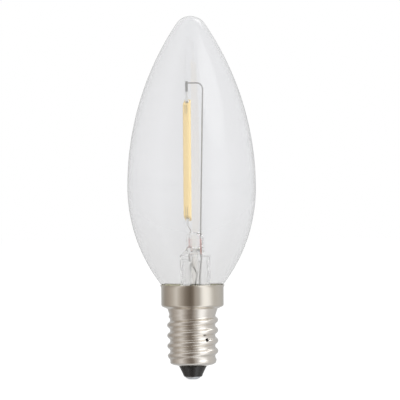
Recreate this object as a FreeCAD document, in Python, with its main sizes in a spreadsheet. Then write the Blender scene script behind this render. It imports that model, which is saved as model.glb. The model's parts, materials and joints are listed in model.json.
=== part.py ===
import FreeCAD, Part
import math
import os
import re
import Sketcher

# Candle bulb with one upright LED filament and a small screw cap.
# Millimetres and degrees. The origin is the middle of the centre contact's foot.
# +Z runs up to the tip of the glass and -Y is the front.

SIZES = {
    "bulb_length": (99.0, "contact's foot to the tip of the glass"),
    "glass_radius": (17.5, "outside of the belly"),
    "belly_height": (52.4, "widest place of the glass"),
    "tip_round": (4.7, "outside radius of the drawn tip"),
    "glass_wall": (0.5, "wall of the blown glass"),
    "neck_radius": (7.4, "outside of the glass neck"),
    "neck_round": (3.0, "hollow curve between neck and belly"),
    "neck_round_drop": (2.34, "rim's edge down to the middle of that curve"),
    "neck_depth": (3.8, "rim's edge down to the foot of the glass neck"),
    "seal_lip_radius": (5.5, "opening in the foot of the neck"),
    "seal_lip_wall": (0.6, "thickness of the lip where the stem is sealed"),
    "seal_gap": (0.1, "stem's tube clear of the lip"),
    "rim_height": (25.8, "edge of the cap's skirt"),
    "rim_flare": (0.35, "how far the edge opens out"),
    "flare_height": (1.0, "length of the flared edge"),
    "skirt_radius": (8.5, "outside of the skirt"),
    "skirt_length": (5.78, "rim's edge down to the corner where the skirt turns under"),
    "skirt_round": (0.7, "rounding of that corner"),
    "underside_slope": (24.0, "angle of the skirt's underside"),
    "sheet_wall": (0.25, "sheet metal of the cap"),
    "thread_radius": (6.945, "outside of the thread's crests"),
    "thread_depth": (0.8, "crest to root"),
    "thread_pitch": (2.822, "rise in one turn"),
    "thread_start": (16.2, "highest crest on the right side"),
    "thread_fade": (1.4, "length over which the top turn dies away"),
    "thread_tail": (3.8, "length over which the bottom turn dies away"),
    "throat_drop": (2.82, "skirt's corner down to the foot of the cone that joins thread and skirt"),
    "throat_slope": (0.32, "widening of that cone for each unit of height"),
    "end_height": (3.55, "lower edge of the cap"),
    "end_hole_radius": (3.5, "hole in the end of the cap"),
    "end_dish_radius": (4.6, "where the flat end meets its rounding"),
    "end_dish_rise": (0.35, "rise of the end up to there"),
    "end_round": (2.4, "rounding between end and thread"),
    "punch_radius": (0.45, "punched hole where the wire is fixed"),
    "punch_height": (10.87, "height of that hole"),
    "insulator_disc_radius": (5.2, "glass disc inside the cap"),
    "insulator_top": (6.0, "top of that disc"),
    "insulator_collar": (3.75, "widest place of the cone below the cap"),
    "insulator_foot": (0.75, "seat of the contact"),
    "insulator_foot_radius": (2.35, "foot of the cone"),
    "insulator_foot_round": (2.1, "hollow curve of its rounded foot"),
    "insulator_waist_rise": (0.75, "seat of the contact up to the end of that curve"),
    "insulator_waist_radius": (2.74, "cone at that height"),
    "contact_radius": (2.1, "centre contact"),
    "contact_flat": (0.85, "flat foot of the contact"),
    "contact_edge": (0.12, "straight edge above the dome"),
    "contact_dome": (2.07, "curve of the dome"),
    "contact_stem_radius": (0.9, "stem of the contact in the glass"),
    "contact_stem_length": (1.25, "length of that stem"),
    "cement_depth": (3.2, "rim's edge down to the lower end of the cement ring"),
    "cement_drop": (0.32, "rim's edge down to the top of the cement"),
    "stem_offset": (0.8, "glass stem right of the bulb's axis"),
    "stem_turn": (50.0, "turn of the press about its own axis"),
    "stem_tube_radius": (4.1, "outside of the flare tube"),
    "stem_wall": (0.8, "wall of the flare tube"),
    "flare_radius": (6.4, "edge of the flare"),
    "flare_edge": (0.9, "thickness of that edge"),
    "flare_round": (2.6, "curve from flare to tube"),
    "press_foot": (33.4, "where the tube starts to be pressed flat"),
    "press_length": (5.8, "pressed part, up to its rounded top"),
    "press_width": (6.4, "broad way of the press"),
    "press_thickness": (2.8, "narrow way of the press"),
    "press_even_rise": (3.2, "foot of the press up to its even part"),
    "press_crown": (0.9, "rounded top of the press"),
    "crown_middle_rise": (0.63, "height at which the rounded top is measured"),
    "crown_middle_width": (5.5, "broad way of the rounded top there"),
    "crown_middle_thickness": (2.0, "narrow way of the rounded top there"),
    "crown_top_width": (3.84, "broad way of its flat"),
    "crown_top_thickness": (1.0, "narrow way of its flat"),
    "shoulder_rise": (1.8, "foot of the press up to its thick shoulder"),
    "shoulder_width": (7.0, "broad way of the shoulder"),
    "shoulder_thickness": (3.9, "narrow way of the shoulder"),
    "exhaust_radius": (1.5, "outside of the exhaust tube"),
    "exhaust_bore": (1.0, "inside of the exhaust tube"),
    "exhaust_foot": (17.3, "sealed tip of the exhaust tube"),
    "exhaust_drop": (1.0, "foot of the press down to where the tube melts into the stem"),
    "vent_radius": (0.8, "side hole blown through the shoulder"),
    "vent_lip": (0.35, "bead of glass around it"),
    "vent_lip_round": (0.28, "rounding of that bead"),
    "seal_wire_radius": (0.2, "copper-clad wire in the press"),
    "seal_wire_spread": (2.1, "each wire from the middle between the two"),
    "seal_wire_shift": (0.35, "that middle from the middle of the press"),
    "seal_wire_lift": (0.6, "foot of the press up to the lower end of the copper-clad wires"),
    "seal_wire_length": (4.4, "length of the copper-clad wires"),
    "lead_radius": (0.2, "nickel wires above and below the press"),
    "lead_bend": (0.9, "bends of the wires"),
    "lead_cross_drop": (4.9, "foot of the press down to where the lower wires pass the exhaust tube"),
    "lead_cross_x": (1.8, "middle between the two wires there, from the axis"),
    "lead_cross_side": (0.3, "each wire to the side of that middle"),
    "lead_cross_depth": (2.35, "one wire in front of the axis and one behind it there"),
    "weld_depth": (0.02, "wire melted into the terminal"),
    "support_x": (3.2, "upright support wire, from the axis"),
    "support_front": (1.5, "upright support wire, in front of the axis"),
    "support_reach": (4.3, "coating's top up to its bent top"),
    "support_bend": (1.8, "radius of the bend at its top"),
    "filament_x": (-1.05, "filament from the axis"),
    "filament_y": (0.3, "filament behind the axis"),
    "filament_turn": (30.0, "turn of the filament's face to the left"),
    "filament_gap": (2.9, "top of the press up to the coating"),
    "filament_length": (33.4, "length of the coating"),
    "coat_width": (1.7, "coating, across"),
    "coat_thickness": (1.4, "coating, front to back"),
    "coat_round": (0.35, "rounded long edges of the coating"),
    "coat_slope": (1.6, "slanted ends of the coating"),
    "strip_width": (1.0, "ceramic strip, across"),
    "strip_thickness": (0.4, "ceramic strip, front to back"),
    "strip_inset": (0.4, "strip's ends inside the coating"),
    "chip_count": (28, "chips in the row"),
    "chip_width": (0.75, "chip, across"),
    "chip_length": (0.45, "chip, along the strip"),
    "chip_thickness": (0.15, "chip, front to back"),
    "chip_margin": (4.4, "coating's end to the first chip"),
    "tab_width": (0.7, "terminal, across"),
    "tab_thickness": (0.2, "sheet of the terminals"),
    "tab_grip": (3.9, "terminal inside the coating"),
    "tab_top_reach": (4.8, "upper terminal out of the coating"),
    "tab_foot_reach": (1.2, "lower terminal out of the coating"),
    "ear_width": (0.15, "each of the two folded ears"),
    "ear_gap": (0.4, "between the ears"),
    "ear_length": (2.4, "length of the ears"),
    "ear_depth": (0.32, "ears stand forward of the terminal"),
    "board_turn": (53.0, "circuit board's turn to the front"),
    "board_width": (10.2, "circuit board, across"),
    "board_thickness": (1.0, "circuit board, front to back"),
    "board_foot": (7.4, "lower edge of the board"),
    "board_length": (9.1, "board, bottom to top"),
    "sleeve_radius": (5.6, "outside of the insulating sleeve"),
    "sleeve_wall": (0.3, "wall of the sleeve"),
    "sleeve_foot": (4.9, "lower edge of the sleeve"),
    "sleeve_length": (12.0, "length of the sleeve"),
    "rectifier_width": (4.7, "rectifier, across"),
    "rectifier_length": (4.0, "rectifier, bottom to top"),
    "rectifier_thickness": (2.4, "rectifier, off the board"),
    "rectifier_lift": (0.8, "rectifier above the board's lower edge"),
    "chip_body_width": (3.9, "driver chip, across"),
    "chip_body_length": (2.9, "driver chip, bottom to top"),
    "chip_body_thickness": (1.4, "driver chip, off the board"),
    "chip_body_lift": (5.6, "driver chip above the board's lower edge"),
    "pin_width": (0.5, "pins of the two flat components"),
    "pin_reach": (0.6, "pins, out from the body"),
    "pin_thickness": (0.2, "sheet of the pins"),
    "capacitor_radius": (2.0, "smoothing capacitor"),
    "capacitor_length": (7.0, "smoothing capacitor"),
    "capacitor_side": (1.7, "capacitor, right of the board's middle"),
    "capacitor_lift": (0.4, "capacitor above the board's lower edge"),
    "capacitor_groove": (0.2, "rolled groove of the can"),
    "capacitor_groove_lift": (1.05, "foot of the can up to that groove"),
    "resistor_radius": (1.15, "fusible resistor"),
    "resistor_length": (5.4, "fusible resistor"),
    "resistor_waist": (0.98, "radius of its slimmer middle"),
    "resistor_step": (0.58, "length of each step of its thick ends"),
    "resistor_side": (2.4, "resistor, left of the board's middle"),
    "resistor_lift": (1.4, "resistor above the board's lower edge"),
    "component_gap": (0.1, "round components stand off the board"),
    "board_wire_radius": (0.25, "wires and leads inside the cap"),
    "board_wire_bend": (0.6, "their bends"),
    "lead_spacing": (2.4, "filament leads from the board's middle"),
    "punch_recess": (0.3, "wire's end behind the thread's middle line"),
}

XY, XZ, YZ = "XY_Plane", "XZ_Plane", "YZ_Plane"
UP = FreeCAD.Vector(0, 0, 1)

doc = FreeCAD.newDocument("candle_bulb")
sheet = doc.addObject("Spreadsheet::Sheet", "Sizes")
for row, (alias, (amount, meaning)) in enumerate(SIZES.items(), start=1):
    sheet.set(f"A{row}", meaning)
    sheet.set(f"B{row}", str(amount))
    sheet.setAlias(f"B{row}", alias)
doc.recompute()


# Formulas. Every name in the sheet has an underscore, so a formula can be written with the bare names.


def linked(formula):
    """The formula with the sheet's name before each of its sizes, as the document's objects hold it."""
    return re.sub(r"\b([a-z]+(?:_[a-z]+)+)\b", r"Sizes.\1", formula)


def size(formula):
    """The number that a formula gives now."""
    return float(sheet.evalExpression(linked(formula)))


def bind(thing, **formulas):
    """Ties properties of one object to the sheet: Length='board_length' and so on."""
    for path, formula in formulas.items():
        thing.setExpression(path, linked(formula))


def place(thing, x="0", y="0", z="0", turn="0"):
    """Moves an object to x, y, z and turns it about the vertical, all by formula."""
    thing.Placement = FreeCAD.Placement(FreeCAD.Vector(), FreeCAD.Rotation(UP, 1))
    for path, formula in (("Base.x", x), ("Base.y", y), ("Base.z", z), ("Rotation.Angle", turn)):
        thing.setExpression("Placement." + path, linked(formula))


def frame(x="0", y="0", turn="0"):
    """The same move as a Placement, for points that are worked out in Python."""
    return FreeCAD.Placement(FreeCAD.Vector(size(x), size(y), 0), FreeCAD.Rotation(UP, size(turn)))


# Heights and places that several pieces share

NECK_FOOT = "(rim_height - neck_depth)"
SKIRT_FOOT = "(rim_height - skirt_length)"
THROAT_HEIGHT = f"({SKIRT_FOOT} - throat_drop)"
FLARE_ARC = "((flare_height ^ 2 + rim_flare ^ 2) / (2 * rim_flare))"
PRESS_TOP = "(press_foot + press_length + press_crown)"
VENT_HEIGHT = "(press_foot + shoulder_rise)"
EXHAUST_TOP = "(press_foot - exhaust_drop)"
SEAL_FOOT = "(press_foot + seal_wire_lift)"
SEAL_TOP = f"({SEAL_FOOT} + seal_wire_length)"
SEAL_SIDES = {"front": "(seal_wire_shift + seal_wire_spread)", "back": "(seal_wire_shift - seal_wire_spread)"}
FILAMENT_FOOT = f"({PRESS_TOP} + filament_gap)"
FILAMENT_TOP = f"({FILAMENT_FOOT} + filament_length)"
SUPPORT_TOP = f"({FILAMENT_TOP} + support_reach)"
BOARD_TOP = "(board_foot + board_length)"


# Frames: the stem, the filament and the circuit board each stand turned about the vertical.

STEM = {"x": "stem_offset", "turn": "-stem_turn"}
FILAMENT = {"x": "filament_x", "y": "filament_y", "turn": "-filament_turn"}
BOARD = {"turn": "-board_turn"}


# Sketches and features


def new_body(label, **where):
    body = doc.addObject("PartDesign::Body", label)
    body.Label = label
    place(body, **where)
    return body


def new_sketch(body, role, height="0"):
    sketch = body.newObject("Sketcher::SketchObject", body.Label + "_sketch")
    plane = next(item for item in body.Origin.OriginFeatures if item.Role == role)
    sketch.AttachmentSupport = [(plane, "")]
    sketch.MapMode = "FlatFace"
    sketch.setExpression("AttachmentOffset.Base.z", linked(height))
    return sketch


def dimension(sketch, kind, formula, *where):
    """One sketch dimension that follows a formula."""
    index = sketch.addConstraint(Sketcher.Constraint(kind, *where, size(formula)))
    sketch.setExpression(f"Constraints[{index}]", linked(formula))


def pin_point(sketch, edge, end, x, y):
    dimension(sketch, "DistanceX", x, -1, 1, edge, end)
    dimension(sketch, "DistanceY", y, -1, 1, edge, end)


def arc_between(start, stop, radius, turns_left):
    """The short arc of a radius from start to stop: its middle lies left of the way if it turns left."""
    half = (stop - start) * 0.5
    side = FreeCAD.Vector(-half.y, half.x, 0).normalize() * (1 if turns_left else -1)
    middle = start + half + side * math.sqrt(max(radius**2 - half.Length**2, 0.0))
    ends = (start, stop) if turns_left else (stop, start)
    angles = [math.atan2(point.y - middle.y, point.x - middle.x) for point in ends]
    return Part.ArcOfCircle(Part.Circle(middle, UP, radius), *angles)


def outline(sketch, corners):
    """A closed outline. A corner is (x, y), or (x, y, 'left' or 'right', radius) where an arc leaves it."""
    spots = [FreeCAD.Vector(size(corner[0]), size(corner[1]), 0) for corner in corners]
    ends = []
    for corner, start, stop in zip(corners, spots, spots[1:] + spots[:1]):
        if len(corner) == 2:
            ends.append((sketch.addGeometry(Part.LineSegment(start, stop)), 1, 2))
            continue
        turns_left = corner[2] == "left"
        arc = sketch.addGeometry(arc_between(start, stop, size(corner[3]), turns_left))
        ends.append((arc, 1, 2) if turns_left else (arc, 2, 1))
    for corner, this, following in zip(corners, ends, ends[1:] + ends[:1]):
        sketch.addConstraint(Sketcher.Constraint("Coincident", this[0], this[2], following[0], following[1]))
        pin_point(sketch, this[0], this[1], corner[0], corner[1])
        if len(corner) > 2:
            dimension(sketch, "Radius", corner[3], this[0])


def box_corners(left, right, low, high):
    return [(left, low), (right, low), (right, high), (left, high)]


def add_circle(sketch, x, y, radius):
    middle = FreeCAD.Vector(size(x), size(y), 0)
    circle = sketch.addGeometry(Part.Circle(middle, UP, size(radius)))
    pin_point(sketch, circle, 3, x, y)
    dimension(sketch, "Radius", radius, circle)


def turned(body, sketch, cut=False):
    """Turns a sketch on the XZ plane about the body's own vertical."""
    kind = "PartDesign::Groove" if cut else "PartDesign::Revolution"
    feature = body.newObject(kind, body.Label + ("_bore" if cut else "_turned"))
    feature.Profile = sketch
    feature.ReferenceAxis = (sketch, ["V_Axis"])
    feature.Angle = 360
    return feature


def turned_body(label, corners, **where):
    body = new_body(label, **where)
    sketch = new_sketch(body, XZ)
    outline(sketch, corners)
    turned(body, sketch)
    return body


def pad(body, sketch, length, both_ways=False):
    feature = body.newObject("PartDesign::Pad", body.Label + "_pad")
    feature.Profile = sketch
    feature.SideType = "Symmetric" if both_ways else "One side"
    bind(feature, Length=length)
    return feature


def add_block(body, left, right, back, front, foot, height):
    """A block in a body: left and right along X, back and front along Y, standing on a height."""
    sketch = new_sketch(body, XY, foot)
    outline(sketch, box_corners(left, right, back, front))
    return pad(body, sketch, height)


def boolean(kind, label, base, tool):
    """Part::Cut or Part::Common of two objects."""
    result = doc.addObject("Part::" + kind, label)
    result.Label = label
    result.Base = base
    result.Tool = tool
    return result


def joined(label, *pieces):
    result = doc.addObject("Part::MultiFuse", label)
    result.Label = label
    result.Shapes = list(pieces)
    return result


# Wires

BEND_SHARE = 0.45


def bent_path(points, bend):
    """Straight runs joined by tangent arcs. A bend takes less than half of its shorter run."""
    edges = []
    last = points[0]
    for before, corner, after in zip(points, points[1:], points[2:]):
        back = before - corner
        onward = after - corner
        half_turn = (math.pi - back.getAngle(onward)) / 2
        room = BEND_SHARE * min(back.Length, onward.Length)
        trim = min(bend * math.tan(half_turn), room)
        radius = trim / math.tan(half_turn)
        back.normalize()
        onward.normalize()
        inward = (back + onward).normalize()
        middle = corner + inward * (radius / math.cos(half_turn))
        start = corner + back * trim
        edges.append(Part.LineSegment(last, start).toShape())
        last = corner + onward * trim
        edges.append(Part.Arc(start, middle - inward * radius, last).toShape())
    edges.append(Part.LineSegment(last, points[-1]).toShape())
    return Part.Wire(edges)


def wire(label, points, radius, bend):
    """A round wire along a bent path."""
    circle = Part.Circle(points[0], points[1] - points[0], size(radius)).toShape()
    path = bent_path(points, size(bend))
    piece = doc.addObject("Part::Feature", label)
    piece.Label = label
    piece.Shape = path.makePipeShell([Part.Wire([circle])], True, False)
    return piece


def spots(where, *points):
    """Points of a frame, given as formulas, in the bulb's own coordinates."""
    move = frame(**where)
    return [move.multVec(FreeCAD.Vector(*(size(part) for part in point))) for point in points]


# Glass envelope. Outside: a drawn tip, a long arc down to the belly, a rounder arc below it and a hollow
# curve into the neck. The inside has the same middles with every radius changed by the wall.


def envelope_outline(sketch, wall, foot):
    """The outline from the tip down to a foot in the neck, its arcs tangent, set in by a wall."""
    radius = f"(glass_radius - {wall})"
    tip = f"(tip_round - {wall})"
    hollow = f"(neck_round + {wall})"
    neck = f"(neck_radius - {wall})"
    top = f"(bulb_length - {wall})"
    hollow_height = "(rim_height - neck_round_drop)"

    belly_height = size("belly_height")
    rise = size(top) - size(tip) - belly_height
    drop = belly_height - size(hollow_height)
    reach = size(neck) + size(hollow) - size(radius)
    upper = (size(radius) ** 2 + rise**2 - size(tip) ** 2) / (2 * (size(radius) - size(tip)))
    lower = (reach**2 + drop**2 - size(hollow) ** 2) / (2 * (size(hollow) - reach))

    tip_middle = FreeCAD.Vector(0, size(top) - size(tip), 0)
    upper_middle = FreeCAD.Vector(size(radius) - upper, belly_height, 0)
    lower_middle = FreeCAD.Vector(size(radius) - lower, belly_height, 0)
    hollow_middle = FreeCAD.Vector(size(neck) + size(hollow), size(hollow_height), 0)
    tip_angle = math.atan2(tip_middle.y - upper_middle.y, tip_middle.x - upper_middle.x)
    hollow_angle = math.atan2(hollow_middle.y - lower_middle.y, hollow_middle.x - lower_middle.x)

    def arc(middle, radius, start, stop):
        return sketch.addGeometry(Part.ArcOfCircle(Part.Circle(middle, UP, radius), start, stop))

    tip_arc = arc(tip_middle, size(tip), tip_angle, math.pi / 2)
    upper_arc = arc(upper_middle, upper, 0, tip_angle)
    lower_arc = arc(lower_middle, lower, hollow_angle, 0)
    hollow_arc = arc(hollow_middle, size(hollow), math.pi + hollow_angle, math.pi)
    corners = [
        FreeCAD.Vector(size(neck), hollow_middle.y, 0),
        FreeCAD.Vector(size(neck), size(foot), 0),
        FreeCAD.Vector(0, size(foot), 0),
        FreeCAD.Vector(0, size(top), 0),
    ]
    side, base, axis = (
        sketch.addGeometry(Part.LineSegment(start, stop)) for start, stop in zip(corners, corners[1:])
    )
    for kind, *where in (
        ("PointOnObject", tip_arc, 3, -2),
        ("Coincident", tip_arc, 2, axis, 2),
        ("PointOnObject", axis, 1, -2),
        ("PointOnObject", axis, 2, -2),
        ("Tangent", upper_arc, 2, tip_arc, 1),
        ("Tangent", lower_arc, 2, upper_arc, 1),
        ("Tangent", lower_arc, 1, hollow_arc, 1),
        ("Tangent", hollow_arc, 2, side, 1),
        ("Coincident", side, 2, base, 1),
        ("Coincident", base, 2, axis, 1),
        ("Horizontal", base),
        ("Vertical", side),
    ):
        sketch.addConstraint(Sketcher.Constraint(kind, *where))
    dimension(sketch, "DistanceY", top, -1, 1, axis, 2)
    dimension(sketch, "Radius", tip, tip_arc)
    dimension(sketch, "DistanceX", radius, -1, 1, upper_arc, 1)
    dimension(sketch, "DistanceY", "belly_height", -1, 1, upper_arc, 1)
    dimension(sketch, "DistanceY", "belly_height", -1, 1, upper_arc, 3)
    dimension(sketch, "Radius", hollow, hollow_arc)
    dimension(sketch, "DistanceY", hollow_height, -1, 1, hollow_arc, 3)
    dimension(sketch, "DistanceX", neck, -1, 1, base, 1)
    dimension(sketch, "DistanceY", foot, -1, 1, base, 1)


def glass_outside():
    body = new_body("glass_outside")
    sketch = new_sketch(body, XZ)
    envelope_outline(sketch, "0", NECK_FOOT)
    turned(body, sketch)
    return body


def glass_envelope():
    body = new_body("glass_envelope")
    sketch = new_sketch(body, XZ)
    envelope_outline(sketch, "0", NECK_FOOT)
    turned(body, sketch)
    bore = new_sketch(body, XZ)
    envelope_outline(bore, "glass_wall", f"({NECK_FOOT} + seal_lip_wall)")
    turned(body, bore, cut=True)
    mouth = new_sketch(body, XZ)
    below, above = f"{NECK_FOOT} - seal_lip_wall", f"{NECK_FOOT} + 2 * seal_lip_wall"
    outline(mouth, box_corners("0", "seal_lip_radius", below, above))
    turned(body, mouth, cut=True)
    return body


# Cap shell: one drawn and rolled sheet. The thread is a surface over the angle and the height. Its section
# is made of equal arcs, crest and root in turn, that meet where their slopes are the same.

POINT_COUNT_AROUND = 20
ROW_COUNT_A_PITCH = 8


def thread_arc():
    """Radius of the arcs of a crest and a root that are tangent, for this pitch and depth."""
    return size("((thread_pitch / 2) ^ 2 + thread_depth ^ 2) / (4 * thread_depth)")


def thread_lift(offset, inset):
    """How far the section stands above its root, at a distance along the axis from the nearest crest."""
    radius = thread_arc()
    quarter = size("thread_pitch") / 4
    crest, root = radius - inset, radius + inset
    depth = size("thread_depth")
    if abs(offset) < crest * quarter / radius:
        return math.sqrt(crest**2 - offset**2) - crest + depth
    return root - math.sqrt(root**2 - (2 * quarter - abs(offset)) ** 2)


def eased(share):
    """Rises from 0 to 1 with level ends."""
    share = min(max(share, 0.0), 1.0)
    return share * share * (3 - 2 * share)


def thread_plug(label, inset, low, high):
    """A solid plug with the rolled thread as its side, closed by a flat disc below and above."""
    pitch, start = size("thread_pitch"), size("thread_start")
    bottom, tail = size("end_height"), size("thread_tail")
    throat, slope = size(THROAT_HEIGHT), size("throat_slope")
    fade = size("thread_fade")
    ease = fade / 4
    root = size("thread_radius - thread_depth") - inset

    def point(angle, height):
        from_crest = height - start - pitch * angle / math.tau
        offset = (from_crest + pitch / 2) % pitch - pitch / 2
        strength = eased((height - bottom) / tail) * eased((throat + fade / 2 - height) / fade)
        ramp = min(max(height - throat + ease, 0.0), 2 * ease)
        cone = slope * (ramp**2 / (4 * ease) + max(height - throat - ease, 0.0))
        radius = root + cone + strength * thread_lift(offset, inset)
        return FreeCAD.Vector(radius * math.cos(angle), radius * math.sin(angle), height)

    rows = math.ceil((high - low) / pitch * ROW_COUNT_A_PITCH)
    heights = [low + (high - low) * row / rows for row in range(rows + 1)]
    angles = [math.tau * step / POINT_COUNT_AROUND for step in range(POINT_COUNT_AROUND + 1)]
    side = Part.BSplineSurface()
    side.interpolate([[point(angle, height) for height in heights] for angle in angles])
    side.setUPeriodic()
    wall = side.toShape()
    rims = [edge for edge in wall.Edges if edge.BoundBox.ZLength < pitch / ROW_COUNT_A_PITCH]
    discs = [Part.Face(Part.Wire([rim])) for rim in rims]
    closed = Part.makeShell([wall, *discs])
    closed.sewShape()
    piece = doc.addObject("Part::Feature", label)
    piece.Label = label
    piece.Shape = Part.makeSolid(closed)
    return piece


def flare_reach(wall, rise):
    """How far out one side of the flared edge stands, at a rise above its foot."""
    return f"(skirt_radius + {FLARE_ARC} - sqrt(({FLARE_ARC} + {wall}) ^ 2 - ({rise}) ^ 2))"


def skirt_plug(label, wall, beyond):
    """The space of the skirt: its upright side, the flared edge, the sloping underside and, where
    something has to be cut clean through, a straight piece beyond the rim."""
    side = f"(skirt_radius - {wall})"
    inner = "(thread_radius - thread_depth)"
    corner = f"({SKIRT_FOOT} + {wall} * (1 / cos(underside_slope) - tan(underside_slope)))"
    bend = f"(skirt_round - {wall} / 2)"
    tuck = f"({bend} * tan(45 - underside_slope / 2))"
    inner_height = f"{corner} - ({side} - {inner}) * tan(underside_slope)"
    mouth = flare_reach(wall, "flare_height")
    tuck_corner = (f"{side} - {tuck} * cos(underside_slope)", f"{corner} - {tuck} * sin(underside_slope)")
    corners = [
        ("0", inner_height),
        (inner, inner_height),
        (*tuck_corner, "left", bend),
        (side, f"{corner} + {tuck}"),
        (side, "rim_height - flare_height", "right", f"({FLARE_ARC} + {wall})"),
        (mouth, "rim_height"),
    ]
    if beyond != "0":
        corners.append((mouth, f"rim_height + {beyond}"))
    corners.append(("0", f"rim_height + {beyond}"))
    return turned_body(label, corners)


def end_plug(label, wall, top):
    """The rounded lower end of the cap, from its hole out to the thread."""
    dish = f"(end_height + end_dish_rise + {wall})"
    corners = [
        ("0", f"end_height + {wall}"),
        ("end_hole_radius", f"end_height + {wall}"),
        ("end_dish_radius", dish, "left", f"(end_round - {wall})"),
        (f"end_dish_radius + end_round - {wall}", f"{dish} + end_round - {wall}"),
        (f"end_dish_radius + end_round - {wall}", top),
        ("0", top),
    ]
    return turned_body(label, corners)


def cap_space(name, wall, beyond):
    """Everything inside one side of the sheet: thread, rounded end and skirt together."""
    low = size("end_height") - size("sheet_wall")
    high = size(SKIRT_FOOT)
    thread = thread_plug(name + "_thread", size(wall), low, high)
    end = end_plug(name + "_end", wall, f"{SKIRT_FOOT} + sheet_wall")
    rounded = boolean("Common", name + "_rounded", thread, end)
    skirt = skirt_plug(name + "_skirt", wall, beyond)
    return joined(name, rounded, skirt)


def cap_shell(inside):
    outside = cap_space("cap_outside", "0", "0")
    hollow = boolean("Cut", "cap_hollow", outside, inside)
    below, above = "end_height - sheet_wall", "end_height + 2 * sheet_wall"
    hole = turned_body("end_hole", box_corners("0", "end_hole_radius", below, above))
    open_end = boolean("Cut", "cap_open_end", hollow, hole)
    punch = new_body("wire_punch", **BOARD)
    sketch = new_sketch(punch, YZ, "sleeve_radius")
    add_circle(sketch, "0", "punch_height", "punch_radius")
    pad(punch, sketch, "thread_radius - sleeve_radius + sheet_wall")
    return boolean("Cut", "cap_shell", open_end, punch)


# Insulator and centre contact


def cap_insulator():
    """Black glass: a disc that fills the cap's end, and the cone that stands out of its hole."""
    dish = "(end_height + end_dish_rise + sheet_wall)"
    inner_round = "(end_round - sheet_wall)"
    disc_rise = f"({inner_round} - sqrt({inner_round} ^ 2 - (insulator_disc_radius - end_dish_radius) ^ 2))"
    dish_slope = "(end_dish_rise / (end_dish_radius - end_hole_radius))"
    collar = f"(end_height + {dish_slope} * (insulator_collar - end_hole_radius))"
    stem_top = "(insulator_foot + contact_stem_length)"
    corners = [
        ("contact_stem_radius", "insulator_foot"),
        ("insulator_foot_radius", "insulator_foot", "left", "insulator_foot_round"),
        ("insulator_waist_radius", "insulator_foot + insulator_waist_rise"),
        ("insulator_collar", collar),
        ("end_hole_radius", "end_height"),
        ("end_hole_radius", "end_height + sheet_wall"),
        ("end_dish_radius", dish, "left", inner_round),
        ("insulator_disc_radius", f"{dish} + {disc_rise}"),
        ("insulator_disc_radius", "insulator_top"),
        ("board_wire_radius", "insulator_top"),
        ("board_wire_radius", stem_top),
        ("contact_stem_radius", stem_top),
    ]
    return turned_body("cap_insulator", corners)


def centre_contact():
    """Solder dome with a flat foot, on a stem that is pressed into the glass."""
    corners = [
        ("0", "0"),
        ("contact_flat", "0", "left", "contact_dome"),
        ("contact_radius", "insulator_foot - contact_edge"),
        ("contact_radius", "insulator_foot"),
        ("contact_stem_radius", "insulator_foot"),
        ("contact_stem_radius", "insulator_foot + contact_stem_length"),
        ("0", "insulator_foot + contact_stem_length"),
    ]
    return turned_body("centre_contact", corners)


def capping_cement(glass):
    """Ring that fills the skirt's mouth around the glass neck: a plain ring less the glass."""
    side = "(skirt_radius - sheet_wall)"
    top = "(rim_height - cement_drop)"
    mouth = flare_reach("sheet_wall", "flare_height - cement_drop")
    ring = turned_body(
        "cement_ring",
        [
            ("neck_radius - glass_wall", "rim_height - cement_depth"),
            (side, "rim_height - cement_depth"),
            (side, "rim_height - flare_height", "right", f"({FLARE_ARC} + sheet_wall)"),
            (mouth, top),
            ("neck_radius - glass_wall", top),
        ],
    )
    return boolean("Cut", "capping_cement", ring, glass)


# Glass stem: flared tube, flattened press above it, exhaust tube inside it


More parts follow.
